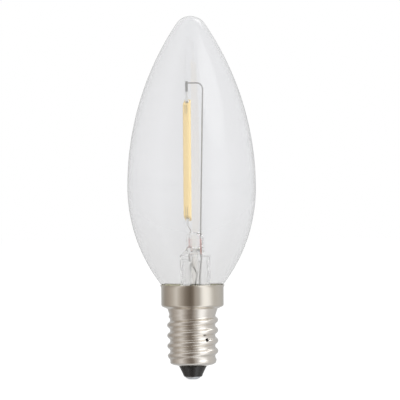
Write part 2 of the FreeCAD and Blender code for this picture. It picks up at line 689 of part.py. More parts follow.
def stem_glass(wires):
    body = new_body("stem_blank", **STEM)
    flare_top = f"({NECK_FOOT} - flare_edge)"
    spread = "(seal_lip_radius - seal_gap - stem_offset - stem_tube_radius)"
    rise = "(flare_round / 2)"
    spread_arc = f"((({spread}) ^ 2 + {rise} ^ 2) / (2 * ({spread})))"
    tube = new_sketch(body, XZ)
    outline(
        tube,
        [
            ("0", flare_top),
            ("flare_radius", flare_top),
            ("flare_radius", NECK_FOOT),
            (f"stem_tube_radius + {spread}", NECK_FOOT, "right", spread_arc),
            ("stem_tube_radius", f"{NECK_FOOT} + {rise}"),
            ("stem_tube_radius", "press_foot"),
            ("0", "press_foot"),
        ],
    )
    turned(body, tube)

    loft = body.newObject("PartDesign::AdditiveLoft", "press")
    circle = new_sketch(body, XY, "press_foot")
    add_circle(circle, "0", "0", "stem_tube_radius")
    sections = [circle]
    for height, width, thickness in (
        (VENT_HEIGHT, "shoulder_width", "shoulder_thickness"),
        ("press_foot + press_even_rise", "press_width", "press_thickness"),
        ("press_foot + press_length", "press_width", "press_thickness"),
        ("press_foot + press_length + crown_middle_rise", "crown_middle_width", "crown_middle_thickness"),
        (PRESS_TOP, "crown_top_width", "crown_top_thickness"),
    ):
        section = new_sketch(body, XY, height)
        add_ellipse(section, f"{width} / 2", f"{thickness} / 2")
        sections.append(section)
    loft.Profile = sections[0]
    loft.Sections = sections[1:]
    loft.Ruled = False
    body.Tip = loft

    bead_reach = "(shoulder_thickness / 2 + vent_lip)"
    ring = new_sketch(body, XZ)
    add_circle(ring, "0", VENT_HEIGHT, "vent_radius + vent_lip")
    bead = pad(body, ring, bead_reach)
    doc.recompute()
    outer = [
        f"Edge{number}"
        for number, edge in enumerate(bead.Shape.Edges, start=1)
        if abs(edge.BoundBox.YMax + size(bead_reach)) < size("vent_lip / 4")
    ]
    rounding = body.newObject("PartDesign::Fillet", "vent_bead_edge")
    rounding.Base = (bead, outer)
    bind(rounding, Radius="vent_lip_round")
    body.Tip = rounding

    bore = new_sketch(body, XZ)
    bore_radius = "(stem_tube_radius - stem_wall)"
    outline(
        bore,
        [
            ("0", f"{flare_top} - flare_edge"),
            ("flare_radius - stem_wall", f"{flare_top} - flare_edge"),
            ("flare_radius - stem_wall", flare_top, "right", "flare_round"),
            (bore_radius, f"{NECK_FOOT} + flare_round / 2"),
            (bore_radius, EXHAUST_TOP),
            ("vent_radius", EXHAUST_TOP),
            ("vent_radius", VENT_HEIGHT),
            ("0", VENT_HEIGHT),
        ],
    )
    turned(body, bore, cut=True)

    vent = body.newObject("PartDesign::Pocket", "vent")
    vent.Profile = new_sketch(body, XZ)
    add_circle(vent.Profile[0], "0", VENT_HEIGHT, "vent_radius")
    bind(vent, Length="press_width")
    vent.Reversed = True
    body.Tip = vent
    return boolean("Cut", "stem_glass", body, joined("wires_in_glass", *wires))


def add_ellipse(sketch, along, across):
    """Ellipse about the origin, its long way along X."""
    ellipse = Part.Ellipse(FreeCAD.Vector(), size(along), size(across))
    index = sketch.addGeometry(ellipse)
    sketch.exposeInternalGeometry(index)
    sketch.addConstraint(Sketcher.Constraint("Coincident", index, 3, -1, 1))
    sketch.addConstraint(Sketcher.Constraint("Horizontal", index + 1))
    dimension(sketch, "Distance", f"2 * {along}", index + 1, 1, index + 1, 2)
    dimension(sketch, "Distance", f"2 * {across}", index + 2, 1, index + 2, 2)


def exhaust_tube():
    """Thin glass tube inside the stem, drawn to a closed tip below."""
    tip = "(exhaust_foot + exhaust_radius)"
    corners = [
        ("0", "exhaust_foot", "left", "exhaust_radius"),
        ("exhaust_radius", tip),
        ("exhaust_radius", EXHAUST_TOP),
        ("exhaust_bore", EXHAUST_TOP),
        ("exhaust_bore", f"{tip} + exhaust_bore", "right", "exhaust_bore"),
        ("0", tip),
    ]
    return turned_body("exhaust_tube", corners, **STEM)


# Wires of the stem. The copper-clad wires cross the press, each with a nickel wire above and below.


def stem_wires():
    """The copper-clad wires and the nickel wires below them, which pass the exhaust tube on both sides."""
    cross_height = "press_foot - lead_cross_drop"
    wires = {}
    for name, side in SEAL_SIDES.items():
        label = "seal_wire_" + name
        ends = spots(STEM, (side, "0", SEAL_FOOT), (side, "0", SEAL_TOP))
        wires[label] = wire(label, ends, "seal_wire_radius", "lead_bend")
        sign, other = ("", "-") if name == "front" else ("-", "")
        way = spots(STEM, (side, "0", SEAL_FOOT), (side, "0", f"{EXHAUST_TOP} - 2 * lead_radius"))
        way += spots({}, (f"lead_cross_x + {sign}lead_cross_side", f"{other}lead_cross_depth", cross_height))
        foot = f"{sign}lead_spacing"
        way += spots(BOARD, (foot, "0", "exhaust_foot + exhaust_radius"), (foot, "0", BOARD_TOP))
        label = "outer_lead_" + name
        wires[label] = wire(label, way, "lead_radius", "lead_bend")
    return wires


def support_wire(terminal):
    """Long wire from the front of the press, leaning out beside the filament and bent over to its top."""
    side = SEAL_SIDES["front"]
    way = spots(STEM, (side, "0", SEAL_TOP), (side, "0", f"{PRESS_TOP} + lead_bend"))
    way += spots({}, ("support_x", "-support_front", SUPPORT_TOP))
    way += spots(FILAMENT, ("-tab_width / 2", WIRE_DEPTH, SUPPORT_TOP))
    whole = wire("support_wire_blank", way, "lead_radius", "support_bend")
    return boolean("Cut", "support_wire", whole, terminal)


def short_lead_wire(terminal):
    """Short wire from the back of the press to the filament's lower terminal."""
    side = SEAL_SIDES["back"]
    way = spots(STEM, (side, "0", SEAL_TOP), (side, "0", f"{PRESS_TOP} + lead_bend / 2"))
    way += spots(
        FILAMENT,
        ("0", WIRE_DEPTH, f"{FILAMENT_FOOT} - tab_foot_reach + lead_radius"),
        ("0", WIRE_DEPTH, f"{FILAMENT_FOOT} - lead_radius"),
    )
    whole = wire("short_lead_blank", way, "lead_radius", "lead_bend")
    return boolean("Cut", "short_lead_wire", whole, terminal)


# Filament: a ceramic strip with a row of chips on its front, a sheet metal terminal at each end and a
# yellow coat moulded over all of it.

STRIP_FRONT = "(-strip_thickness / 2)"
TAB_FRONT = "(-strip_thickness / 2 - tab_thickness)"
WIRE_DEPTH = "(-strip_thickness / 2 + lead_radius - weld_depth)"


def filament_strip():
    body = new_body("filament_strip", **FILAMENT)
    length = "filament_length - 2 * strip_inset"
    foot = f"{FILAMENT_FOOT} + strip_inset"
    half = "strip_width / 2"
    add_block(body, f"-{half}", half, STRIP_FRONT, "strip_thickness / 2", foot, length)
    return body


def led_chips():
    body = new_body("led_chips", **FILAMENT)
    body.AllowCompound = True
    half = "chip_width / 2"
    foot = f"{FILAMENT_FOOT} + chip_margin"
    front = f"{STRIP_FRONT} - chip_thickness"
    chip = add_block(body, f"-{half}", half, front, STRIP_FRONT, foot, "chip_length")
    row = body.newObject("PartDesign::LinearPattern", "chip_row")
    row.Originals = [chip]
    row.Direction = (chip.Profile[0], ["N_Axis"])
    bind(row, Length="filament_length - 2 * chip_margin - chip_length", Occurrences="chip_count")
    body.Tip = row
    return body


def terminal(label, foot, length, ear_foot):
    """A flat tab on the strip's end. Two narrow ears fold forward from it to the face of the coat."""
    body = new_body(label, **FILAMENT)
    half = "tab_width / 2"
    add_block(body, f"-{half}", half, TAB_FRONT, STRIP_FRONT, foot, length)
    for left in ("-ear_gap / 2 - ear_width", "ear_gap / 2"):
        front = f"{TAB_FRONT} - ear_depth"
        add_block(body, left, f"{left} + ear_width", front, TAB_FRONT, ear_foot, "ear_length")
    return body


def phosphor_coat(buried):
    """The coat: a bar with slanted ends and rounded long edges, with room for what is moulded in."""
    body = new_body("coat_bar", **FILAMENT)
    sketch = new_sketch(body, YZ)
    outline(
        sketch,
        [
            ("-coat_thickness / 2", f"{FILAMENT_FOOT} + coat_slope"),
            ("coat_thickness / 2", FILAMENT_FOOT),
            ("coat_thickness / 2", FILAMENT_TOP),
            ("-coat_thickness / 2", f"{FILAMENT_TOP} - coat_slope"),
        ],
    )
    bar = pad(body, sketch, "coat_width", both_ways=True)
    doc.recompute()
    edges = [
        f"Edge{number}"
        for number, edge in enumerate(bar.Shape.Edges, start=1)
        if edge.BoundBox.ZLength > size("filament_length / 2")
    ]
    rounding = body.newObject("PartDesign::Fillet", "coat_edges")
    rounding.Base = (bar, edges)
    bind(rounding, Radius="coat_round")
    body.Tip = rounding
    return boolean("Cut", "phosphor_coat", body, joined("buried_in_coat", *buried))


def filament():
    strip = filament_strip()
    chips = led_chips()
    top = terminal(
        "terminal_top",
        f"{FILAMENT_TOP} - tab_grip",
        "tab_grip + tab_top_reach",
        f"{FILAMENT_TOP} - coat_slope - ear_length",
    )
    bottom = terminal(
        "terminal_bottom",
        f"{FILAMENT_FOOT} - tab_foot_reach",
        "tab_grip + tab_foot_reach",
        f"{FILAMENT_FOOT} + coat_slope",
    )
    coat = phosphor_coat([strip, chips, top, bottom])
    return {
        "filament_strip": strip,
        "led_chips": chips,
        "terminal_top": top,
        "terminal_bottom": bottom,
        "phosphor_coat": coat,
    }


# Driver inside the cap. In the board's frame X runs across the board and -Y is its component side with
# the two round parts. The two flat parts are on its back.

BOARD_BACK = "(board_thickness / 2)"
PIN_SHARES = (0.25, 0.75)


def driver_board():
    body = new_body("driver_board", **BOARD)
    half = "board_width / 2"
    add_block(body, f"-{half}", half, f"-{BOARD_BACK}", BOARD_BACK, "board_foot", "board_length")
    return body


def flat_component(label, name):
    """A moulded block against the board's back, with two pins on each long side that touch the board."""
    body = new_body(label, **BOARD)
    foot = f"board_foot + {name}_lift"
    half = f"{name}_width / 2"
    back = f"{BOARD_BACK} + {name}_thickness"
    add_block(body, f"-{half}", half, BOARD_BACK, back, foot, f"{name}_length")
    for share in PIN_SHARES:
        for left in (f"-{half} - pin_reach", half):
            pin_foot = f"{foot} + {name}_length * {share} - pin_width / 2"
            pin_back = f"{BOARD_BACK} + pin_thickness"
            add_block(body, left, f"{left} + pin_reach", BOARD_BACK, pin_back, pin_foot, "pin_width")
    return body


CAPACITOR_Y = "(-board_thickness / 2 - component_gap - capacitor_radius)"
RESISTOR_Y = "(-board_thickness / 2 - component_gap - resistor_radius)"


def standing_part(label, x, y, corners):
    """A round component: its outline is turned about a vertical that stands at x, y on the board."""
    return turned_body(
        label,
        corners,
        x=f"({x}) * cos(board_turn) + {y} * sin(board_turn)",
        y=f"{y} * cos(board_turn) - ({x}) * sin(board_turn)",
    )


def smoothing_capacitor():
    foot = "board_foot + capacitor_lift"
    top = f"{foot} + capacitor_length"
    groove = f"{foot} + capacitor_groove_lift"
    corners = [
        ("0", foot),
        ("capacitor_radius", foot),
        ("capacitor_radius", f"{groove} - capacitor_groove"),
        ("capacitor_radius - capacitor_groove", groove),
        ("capacitor_radius", f"{groove} + capacitor_groove"),
        ("capacitor_radius", f"{top} - capacitor_groove", "left", "capacitor_groove"),
        ("capacitor_radius - capacitor_groove", top),
        ("0", top),
    ]
    can = standing_part("capacitor_can", "capacitor_side", CAPACITOR_Y, corners)
    return joined("smoothing_capacitor", can, upper_lead("capacitor_lead", "capacitor_side", CAPACITOR_Y, top))


def fusible_resistor():
    foot = "board_foot + resistor_lift"
    top = f"{foot} + resistor_length"
    corners = [
        ("0", foot),
        ("resistor_waist", foot),
        ("resistor_radius", f"{foot} + resistor_step"),
        ("resistor_radius", f"{foot} + 2 * resistor_step"),
        ("resistor_waist", f"{foot} + 3 * resistor_step"),
        ("resistor_waist", f"{top} - 3 * resistor_step"),
        ("resistor_radius", f"{top} - 2 * resistor_step"),
        ("resistor_radius", f"{top} - resistor_step"),
        ("resistor_waist", top),
        ("0", top),
    ]
    barrel = standing_part("resistor_barrel", "-resistor_side", RESISTOR_Y, corners)
    return joined("fusible_resistor", barrel, upper_lead("resistor_lead", "-resistor_side", RESISTOR_Y, top))


def upper_lead(label, x, y, top):
    """A lead out of a round component's top, bent back to the face of the board."""
    reach = f"{top} + 2 * board_wire_radius"
    way = spots(BOARD, (x, y, f"{top} - board_wire_radius"), (x, y, reach), (x, f"-{BOARD_BACK}", reach))
    return wire(label, way, "board_wire_radius", "board_wire_bend")


def contact_wire():
    """From the stem of the contact up through the glass, and across to the resistor's foot."""
    lift = "(insulator_top + board_foot) / 2"
    way = spots(
        BOARD,
        ("0", "0", "insulator_foot + contact_stem_length"),
        ("0", "0", lift),
        ("-resistor_side", RESISTOR_Y, "board_foot + resistor_lift / 2"),
        ("-resistor_side", RESISTOR_Y, "board_foot + resistor_lift"),
    )
    return wire("contact_wire", way, "board_wire_radius", "board_wire_bend")


def shell_wire():
    """From the board's edge straight out to the punched hole in the thread."""
    way = spots(
        BOARD,
        ("board_width / 2", "0", "punch_height"),
        ("thread_radius - thread_depth / 2 - punch_recess", "0", "punch_height"),
    )
    return wire("shell_wire", way, "board_wire_radius", "board_wire_bend")


def driver_sleeve():
    """Insulating sleeve round the board, with a hole where the wire to the cap passes."""
    body = new_body("driver_sleeve", **BOARD)
    tube = new_sketch(body, XZ)
    inner = "sleeve_radius - sleeve_wall"
    outline(tube, box_corners(inner, "sleeve_radius", "sleeve_foot", "sleeve_foot + sleeve_length"))
    turned(body, tube)
    hole = body.newObject("PartDesign::Pocket", "sleeve_hole")
    sketch = new_sketch(body, YZ)
    add_circle(sketch, "0", "punch_height", "board_wire_radius + component_gap")
    hole.Profile = sketch
    hole.Reversed = True
    bind(hole, Length="sleeve_radius + sleeve_wall")
    body.Tip = hole
    return body


# Assembly


def build():
    glass = glass_outside()
    inside = cap_space("cap_inside", "sheet_wall", "sheet_wall")
    wires = stem_wires()
    pieces = filament()
    pieces["support_wire"] = support_wire(pieces["terminal_top"])
    pieces["short_lead_wire"] = short_lead_wire(pieces["terminal_bottom"])
    in_glass = [*wires.values(), pieces["support_wire"], pieces["short_lead_wire"]]
    pieces.update(wires)
    for piece in (
        glass_envelope(),
        stem_glass(in_glass),
        exhaust_tube(),
        cap_shell(inside),
        cap_insulator(),
        centre_contact(),
        capping_cement(glass),
        driver_board(),
        flat_component("bridge_rectifier", "rectifier"),
        flat_component("driver_chip", "chip_body"),
        smoothing_capacitor(),
        fusible_resistor(),
        contact_wire(),
        shell_wire(),
        driver_sleeve(),
    ):
        pieces[piece.Label] = piece
    return pieces


def check(pieces):
    """Stops if any object failed or any piece is not a valid solid."""
    for item in doc.Objects:
        if "Invalid" in item.State or "Error" in item.State:
            raise RuntimeError(f"{item.Label} failed: {item.State}")
    for label, piece in pieces.items():
        shape = piece.Shape
        if shape.isNull() or not shape.isValid() or not shape.Solids or shape.Volume <= 0:
            raise RuntimeError(f"{label} is not a valid solid")


def write(pieces):
    os.makedirs("parts", exist_ok=True)
    for label, piece in sorted(pieces.items()):
        piece.Shape.exportStep(f"parts/{label}.step")
        print(f"{label}: {len(piece.Shape.Solids)} solid, {piece.Shape.Volume:.2f} cubic mm")


parts = build()
doc.recompute()
check(parts)
write(parts)
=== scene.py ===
# %% [markdown]
# # A clear candle bulb
# A candle bulb is a blown glass envelope on a small screw cap. Inside it a glass stem carries one upright
# filament between two wires. The solid model is loaded first as a fixed frame. The pieces that the eye reads
# as smooth, such as the glass, the cap and the wires, are then worked out again as fine surfaces on the same
# sizes, and every piece gets its finish.

# %% Load the frame
import json
import math

import bmesh
import bpy
import numpy as np
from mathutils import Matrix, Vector


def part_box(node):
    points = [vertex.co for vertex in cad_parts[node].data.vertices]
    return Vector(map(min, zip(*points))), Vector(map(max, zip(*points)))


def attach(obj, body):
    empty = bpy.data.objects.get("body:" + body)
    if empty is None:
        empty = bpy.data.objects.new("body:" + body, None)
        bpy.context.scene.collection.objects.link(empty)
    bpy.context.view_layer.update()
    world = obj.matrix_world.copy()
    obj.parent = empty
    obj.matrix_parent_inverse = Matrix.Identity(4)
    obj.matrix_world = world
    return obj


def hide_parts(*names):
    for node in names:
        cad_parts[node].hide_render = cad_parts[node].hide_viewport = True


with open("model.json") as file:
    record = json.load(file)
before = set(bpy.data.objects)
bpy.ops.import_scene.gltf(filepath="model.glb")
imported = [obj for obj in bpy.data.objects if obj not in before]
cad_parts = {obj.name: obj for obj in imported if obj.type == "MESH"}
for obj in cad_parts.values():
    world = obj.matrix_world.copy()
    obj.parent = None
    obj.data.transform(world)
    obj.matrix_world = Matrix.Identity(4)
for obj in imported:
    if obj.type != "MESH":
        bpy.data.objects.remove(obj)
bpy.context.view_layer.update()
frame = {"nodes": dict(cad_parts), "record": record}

# %% [markdown]
# ## From a grid of points to a piece
# Each new piece is a function of two parameters, worked out on a whole grid at once: the rows go along the
# piece and the columns go round it. One helper joins neighbouring points by four-sided faces, welds the
# points that fall together at a pole or a seam, and lets the light see a smooth skin.

# %% Grid to mesh
MM = 0.001
AROUND = 160
WELD = 1e-8
SMOOTH_UP_TO = 40


def in_scene(name, data):
    """A new object in the scene for a mesh, a light or a camera."""
    thing = bpy.data.objects.new(name, data)
    bpy.context.collection.objects.link(thing)
    return thing


def grid_faces(rows, columns, ring):
    """Corner numbers of the faces between neighbours. A ring's last row also joins its first."""
    row, column = np.meshgrid(np.arange(rows if ring else rows - 1), np.arange(columns), indexing="ij")
    above, beside = (row + 1) % rows, (column + 1) % columns
    corners = [(row, column), (row, beside), (above, beside), (above, column)]
    return np.stack([along * columns + across for along, across in corners], axis=-1).reshape(-1, 4)


def piece(name, grid, node, slot, ring=False, sharp=SMOOTH_UP_TO, gaps=None, more=None):
    """A closed mesh from a grid of points in millimetres (rows, columns, 3), placed in the bulb's frame.
    Faces marked as gaps are left out, and more faces can be handed in as corner numbers."""
    grid = np.asarray(grid, float)
    faces = grid_faces(grid.shape[0], grid.shape[1], ring)
    if gaps is not None:
        faces = np.concatenate([faces[~gaps.reshape(-1)], more])
    mesh = bpy.data.meshes.new(name)
    mesh.from_pydata((grid.reshape(-1, 3) * MM).tolist(), [], faces.tolist())
    thing = in_scene(name, mesh)
    weld(mesh, sharp)
    return carried(thing, node, slot)


def weld(mesh, sharp):
    """Joins points that fall together, turns all faces outwards and smooths the skin up to an angle."""
    work = bmesh.new()
    work.from_mesh(mesh)
    bmesh.ops.remove_doubles(work, verts=work.verts, dist=WELD)
    bmesh.ops.recalc_face_normals(work, faces=work.faces)
    work.to_mesh(mesh)
    work.free()
    mesh.shade_smooth()
    mesh.set_sharp_from_angle(angle=math.radians(sharp))


def carried(thing, node, slot):
    """The piece rides on the bulb's one body, stands for its solid and takes its finish from a slot."""
    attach(thing, "root")
    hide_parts(node)
    dressed[thing] = slot
    print(thing.name, len(thing.data.polygons), "faces")
    return thing


dressed = {}

# %% [markdown]
# ## Outlines that are turned
# Glass and sheet metal that was blown, spun or drawn is round, so its outline is drawn once, from straight
# runs and arcs, and turned about the axis. Arcs are written by middle, radius and angles because that is how
# the bulb's curves meet: each arc leaves in the direction in which the last one came.

# %% Outline helpers
def arc(middle, radius, start, stop, count=24):
    """Points (x, z) on a circle: middle plus radius times the cosine and sine of an even run of angles."""
    angle = np.linspace(start, stop, count)
    return np.stack([middle[0] + radius * np.cos(angle), middle[1] + radius * np.sin(angle)], axis=-1)


def run(start, stop, count=2):
    """Points (x, z) spread evenly on a straight line."""
    share = np.linspace(0, 1, count)[:, None]
    return np.asarray(start) * (1 - share) + np.asarray(stop) * share


def turned(outline, x=0.0, y=0.0, around=AROUND):
    """Each outline point goes round a circle: its distance times cosine and sine, at its own height."""
    angle = np.linspace(0, math.tau, around, endpoint=False)
    reach, height = outline[:, :1], outline[:, 1:]
    level = np.broadcast_to(height, (len(outline), around))
    return np.stack([x + reach * np.cos(angle), y + reach * np.sin(angle), level], axis=-1)


# %% [markdown]
# ## The glass envelope
# The envelope is blown in a mould: a drawn tip, one long arc down to the belly, a rounder arc below it and a
# hollow curve into the neck. It could be turned as a single surface with a Solidify modifier, but real glass
# shows both skins of its wall at the edges, so the inside is its own run of arcs about the same middles, and
# the two runs are joined where the neck is sealed.

# %% Sizes of the glass
belly_low, belly_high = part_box("glass_envelope")
BULB_LENGTH = belly_high.z / MM
GLASS_RADIUS = belly_high.x / MM
NECK_FOOT = belly_low.z / MM
BELLY_HEIGHT = 52.4
TIP_ROUND = 4.7
NECK_RADIUS = 7.4
NECK_ROUND = 3.0
NECK_CURVE_HEIGHT = 23.46
GLASS_WALL = 0.5
SEAL_LIP_RADIUS = 5.5
SEAL_LIP_WALL = 0.6
GLASS_AROUND = 256
print("glass", round(BULB_LENGTH, 2), round(GLASS_RADIUS, 2), round(NECK_FOOT, 2))


# %% Envelope
def envelope_side(wall):
    """One skin from the tip to the neck. Two arcs meet smoothly where the distance of their middles is the
    difference of their radii, or the sum where one is hollow. That gives the radii of the two big arcs."""
    belly, tip = GLASS_RADIUS - wall, TIP_ROUND - wall
    hollow, neck = NECK_ROUND + wall, NECK_RADIUS - wall
    rise = BULB_LENGTH - TIP_ROUND - BELLY_HEIGHT
    drop = BELLY_HEIGHT - NECK_CURVE_HEIGHT
    reach = neck + hollow - belly
    upper = (belly**2 + rise**2 - tip**2) / (2 * (belly - tip))
    lower = (reach**2 + drop**2 - hollow**2) / (2 * (hollow - reach))
    tip_angle = math.atan2(rise, upper - belly)
    hollow_angle = math.atan2(-drop, neck + hollow - belly + lower)
    parts = [
        arc((0, BULB_LENGTH - TIP_ROUND), tip, math.pi / 2, tip_angle),
        arc((belly - upper, BELLY_HEIGHT), upper, tip_angle, 0, count=80),
        arc((belly - lower, BELLY_HEIGHT), lower, 0, hollow_angle, count=60),
        arc((neck + hollow, NECK_CURVE_HEIGHT), hollow, math.pi + hollow_angle, math.pi),
    ]
    return np.concatenate([parts[0]] + [part[1:] for part in parts[1:]])


def envelope():
    """Outer skin down to the foot of the neck, the turned-in lip, and the inner skin back up."""
    lip = [
        (NECK_RADIUS, NECK_FOOT),
        (SEAL_LIP_RADIUS, NECK_FOOT),
        (SEAL_LIP_RADIUS, NECK_FOOT + SEAL_LIP_WALL),
        (NECK_RADIUS - GLASS_WALL, NECK_FOOT + SEAL_LIP_WALL),
    ]
    outline = np.concatenate([envelope_side(0), lip, envelope_side(GLASS_WALL)[::-1]])
    return piece("blown_envelope", turned(outline, around=GLASS_AROUND), "glass_envelope", "clear_glass")


blown_envelope = envelope()

# %% [markdown]
# ## The cap
# The cap is one sheet of nickel-plated brass. Its sleeve is rolled into a round thread that a lamp holder's
# sleeve takes, its lower end is turned in round the black glass, and its wide skirt grips the neck. A thread
# could be made with a Screw modifier, but here crest and root are equal arcs whose height dies away at both
# ends, so the radius is written as a formula of angle and height.

# %% Sizes of the cap
SHEET_WALL = 0.25
THREAD_RADIUS = 6.945
THREAD_DEPTH = 0.8
THREAD_PITCH = 2.822
THREAD_START = 16.2
THREAD_FADE = 1.4
THREAD_TAIL = 3.8
THROAT_HEIGHT = 17.2
THROAT_SLOPE = 0.32
END_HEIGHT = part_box("cap_shell")[0].z / MM
END_HOLE_RADIUS = 3.5
END_DISH_RADIUS = 4.6
END_DISH_RISE = 0.35
END_ROUND = 2.4
RIM_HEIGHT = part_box("cap_shell")[1].z / MM
RIM_FLARE = 0.35
FLARE_HEIGHT = 1.0
SKIRT_RADIUS = 8.5
SKIRT_FOOT = 20.02
SKIRT_ROUND = 0.7
UNDERSIDE = math.radians(24)
print("cap from", round(END_HEIGHT, 2), "to", round(RIM_HEIGHT, 2))


# %% The rolled thread
def eased(share):
    """Rises from 0 to 1 with level ends: three times the square less twice the cube."""
    share = np.clip(share, 0, 1)
    return share * share * (3 - 2 * share)


def thread_reach(angle, height, inset):
    """Radius of the sleeve: its root, plus the cone of the throat, plus the thread's own lift.
    The lift is an arc at the crest and an arc at the root, in turn, along the distance to the nearest
    crest, and that distance falls by one pitch in every turn."""
    quarter = THREAD_PITCH / 4
    roll = ((2 * quarter) ** 2 + THREAD_DEPTH**2) / (4 * THREAD_DEPTH)
    crest, root = roll - inset, roll + inset
    from_crest = height - THREAD_START - THREAD_PITCH * angle / math.tau
    offset = np.abs((from_crest + 2 * quarter) % THREAD_PITCH - 2 * quarter)
    top_arc = np.sqrt(np.maximum(crest**2 - offset**2, 0)) - crest + THREAD_DEPTH
    root_arc = root - np.sqrt(np.maximum(root**2 - (2 * quarter - offset) ** 2, 0))
    lift = np.where(offset < crest * quarter / roll, top_arc, root_arc)
    strength = eased((height - END_HEIGHT) / THREAD_TAIL)
    strength = strength * eased((THROAT_HEIGHT + THREAD_FADE / 2 - height) / THREAD_FADE)
    ease = THREAD_FADE / 4
    ramp = np.clip(height - THROAT_HEIGHT + ease, 0, 2 * ease)
    cone = THROAT_SLOPE * (ramp**2 / (4 * ease) + np.maximum(height - THROAT_HEIGHT - ease, 0))
    return THREAD_RADIUS - THREAD_DEPTH - inset + cone + strength * lift


# %% One side of the sheet
FLARE_ARC = (FLARE_HEIGHT**2 + RIM_FLARE**2) / (2 * RIM_FLARE)
LIP_ROUND = SHEET_WALL / 2
SLEEVE_ROWS = 90
PUNCH_HEIGHT = 10.87
FINE_HALF, FINE_COUNT = 0.9, 31
FINE_RUN = np.linspace(-FINE_HALF, FINE_HALF, FINE_COUNT)


def sheet_side(wall):
    """Outline (reach, height) of one side from the end's hole to the rim, before the thread is rolled in,
    and which of its points lie on the sleeve. The cone of the throat meets the skirt's underside at the
    waist, where the two straight lines have the same reach."""
    dish = END_HEIGHT + END_DISH_RISE + wall
    end = np.concatenate([
        run((END_HOLE_RADIUS, END_HEIGHT + wall), (END_DISH_RADIUS, dish), count=6)[:-1],
        arc((END_DISH_RADIUS, dish + END_ROUND - wall), END_ROUND - wall, -math.pi / 2, 0),
    ])
    side = SKIRT_RADIUS - wall
    corner = SKIRT_FOOT + wall * (1 / math.cos(UNDERSIDE) - math.tan(UNDERSIDE))
    sleeve_reach = THREAD_RADIUS - THREAD_DEPTH - wall - THROAT_SLOPE * THROAT_HEIGHT
    steep = 1 / math.tan(UNDERSIDE)
    waist = (side - corner * steep - sleeve_reach) / (THROAT_SLOPE - steep)
    levels = np.linspace(end[-1, 1], THROAT_HEIGHT, SLEEVE_ROWS)[1:]
    levels = np.union1d(levels, PUNCH_HEIGHT + FINE_RUN)
    sleeve = np.concatenate([
        np.stack([np.full_like(levels, side), levels], axis=-1),
        run((side, THROAT_HEIGHT), (side, waist), count=16)[1:],
    ])
    bend = SKIRT_ROUND - wall / 2
    tuck = bend * math.tan(math.pi / 4 - UNDERSIDE / 2)
    flare_foot = RIM_HEIGHT - FLARE_HEIGHT
    flare = FLARE_ARC + wall
    flare_turn = math.asin((FLARE_HEIGHT - LIP_ROUND) / flare)
    skirt = np.concatenate([
        arc((side - bend, corner + tuck), bend, UNDERSIDE - math.pi / 2, 0, count=16),
        run((side, corner + tuck), (side, flare_foot), count=5)[1:],
        arc((side + flare, flare_foot), flare, math.pi, math.pi - flare_turn, count=12)[1:],
    ])
    outline = np.concatenate([end, sleeve, skirt])
    on_sleeve = np.arange(len(outline)) < len(end) + len(sleeve)
    return outline, on_sleeve


# %% [markdown]
# ## The punched hole
# A wire comes out through a small hole punched in the sleeve. A Boolean modifier would leave long thin faces
# round it, which show as dents in shiny metal. Here the grid has close rows and columns near the hole. The
# points next to its edge are pulled onto it, the faces inside it are left out, and a short wall joins both
# sides of the sheet. The punch went in level, so on the slanting flank of the thread the circle leans over.

# %% Columns that lean with the hole
BOARD_TURN = math.radians(53)
PUNCH_RADIUS = 0.5
PUNCH_LEAN = 0.65
LEAN_FULL, LEAN_FADE = 0.6, 1.6
EDGE_SHARE = 0.6


def from_punch(turn):
    """Way round the sleeve from the punched hole's middle: the angle between them times the radius."""
    return THREAD_RADIUS * ((turn + BOARD_TURN + math.pi) % math.tau - math.pi)


def leaning(angle, height):
    """Angle moved sideways by a share of the height above the hole's middle, less and less further out."""
    across, up = from_punch(angle), height - PUNCH_HEIGHT
    hold = [eased(1 - (np.abs(away) - LEAN_FULL) / LEAN_FADE) for away in (across, up)]
    return angle + PUNCH_LEAN * up * hold[0] * hold[1] / THREAD_RADIUS


# %% Edge and wall of the hole
def punched(turn, height, reach):
    """Points whose distance from the hole's middle is nearly its radius move out or in to that radius. The
    faces that have all four corners on or inside the edge are marked."""
    across, up = from_punch(turn), height - PUNCH_HEIGHT
    away = np.hypot(across - PUNCH_LEAN * up, up)
    on_sleeve = reach < THREAD_RADIUS + SHEET_WALL
    edge = EDGE_SHARE * (FINE_RUN[1] - FINE_RUN[0])
    near = on_sleeve & (np.abs(away - PUNCH_RADIUS) < edge)
    pull = np.where(near, PUNCH_RADIUS / np.maximum(away, WELD), 1)
    turn = turn + across * (pull - 1) / THREAD_RADIUS
    height = height + up * (pull - 1)
    inner = on_sleeve & (away < PUNCH_RADIUS + edge)
    over, beside = np.roll(inner, -1, axis=0), np.roll(inner, -1, axis=1)
    gaps = inner & over & beside & np.roll(over, -1, axis=1)
    return turn, height, gaps


def hole_wall(gaps):
    """Faces through the sheet, one for every side of a left-out face that has no left-out neighbour. Row
    numbers count up the outside and come back on the inside, so a point's partner is as far from the end."""
    rows, columns = gaps.shape
    outer = gaps[:rows // 2]
    row, column = np.nonzero(outer != np.roll(outer, 1, axis=1))
    upright = [row * columns + column, (row + 1) * columns + column]
    upright += [(rows - 2 - row) * columns + column, (rows - 1 - row) * columns + column]
    row, column = np.nonzero(outer != np.roll(outer, 1, axis=0))
    beside = (column + 1) % columns
    level = [row * columns + column, row * columns + beside]
    level += [(rows - 1 - row) * columns + beside, (rows - 1 - row) * columns + column]
    return np.concatenate([np.stack(upright, axis=-1), np.stack(level, axis=-1)])


# %% [markdown]
# Both sides of the sheet use the same angles, so their rows can be joined into one ring of rows: up the
# outside, over the rolled lip of the rim, down the inside and back through the hole in the end.

# %% Cap shell
CAP_AROUND = 192
LIP_ROWS = 9


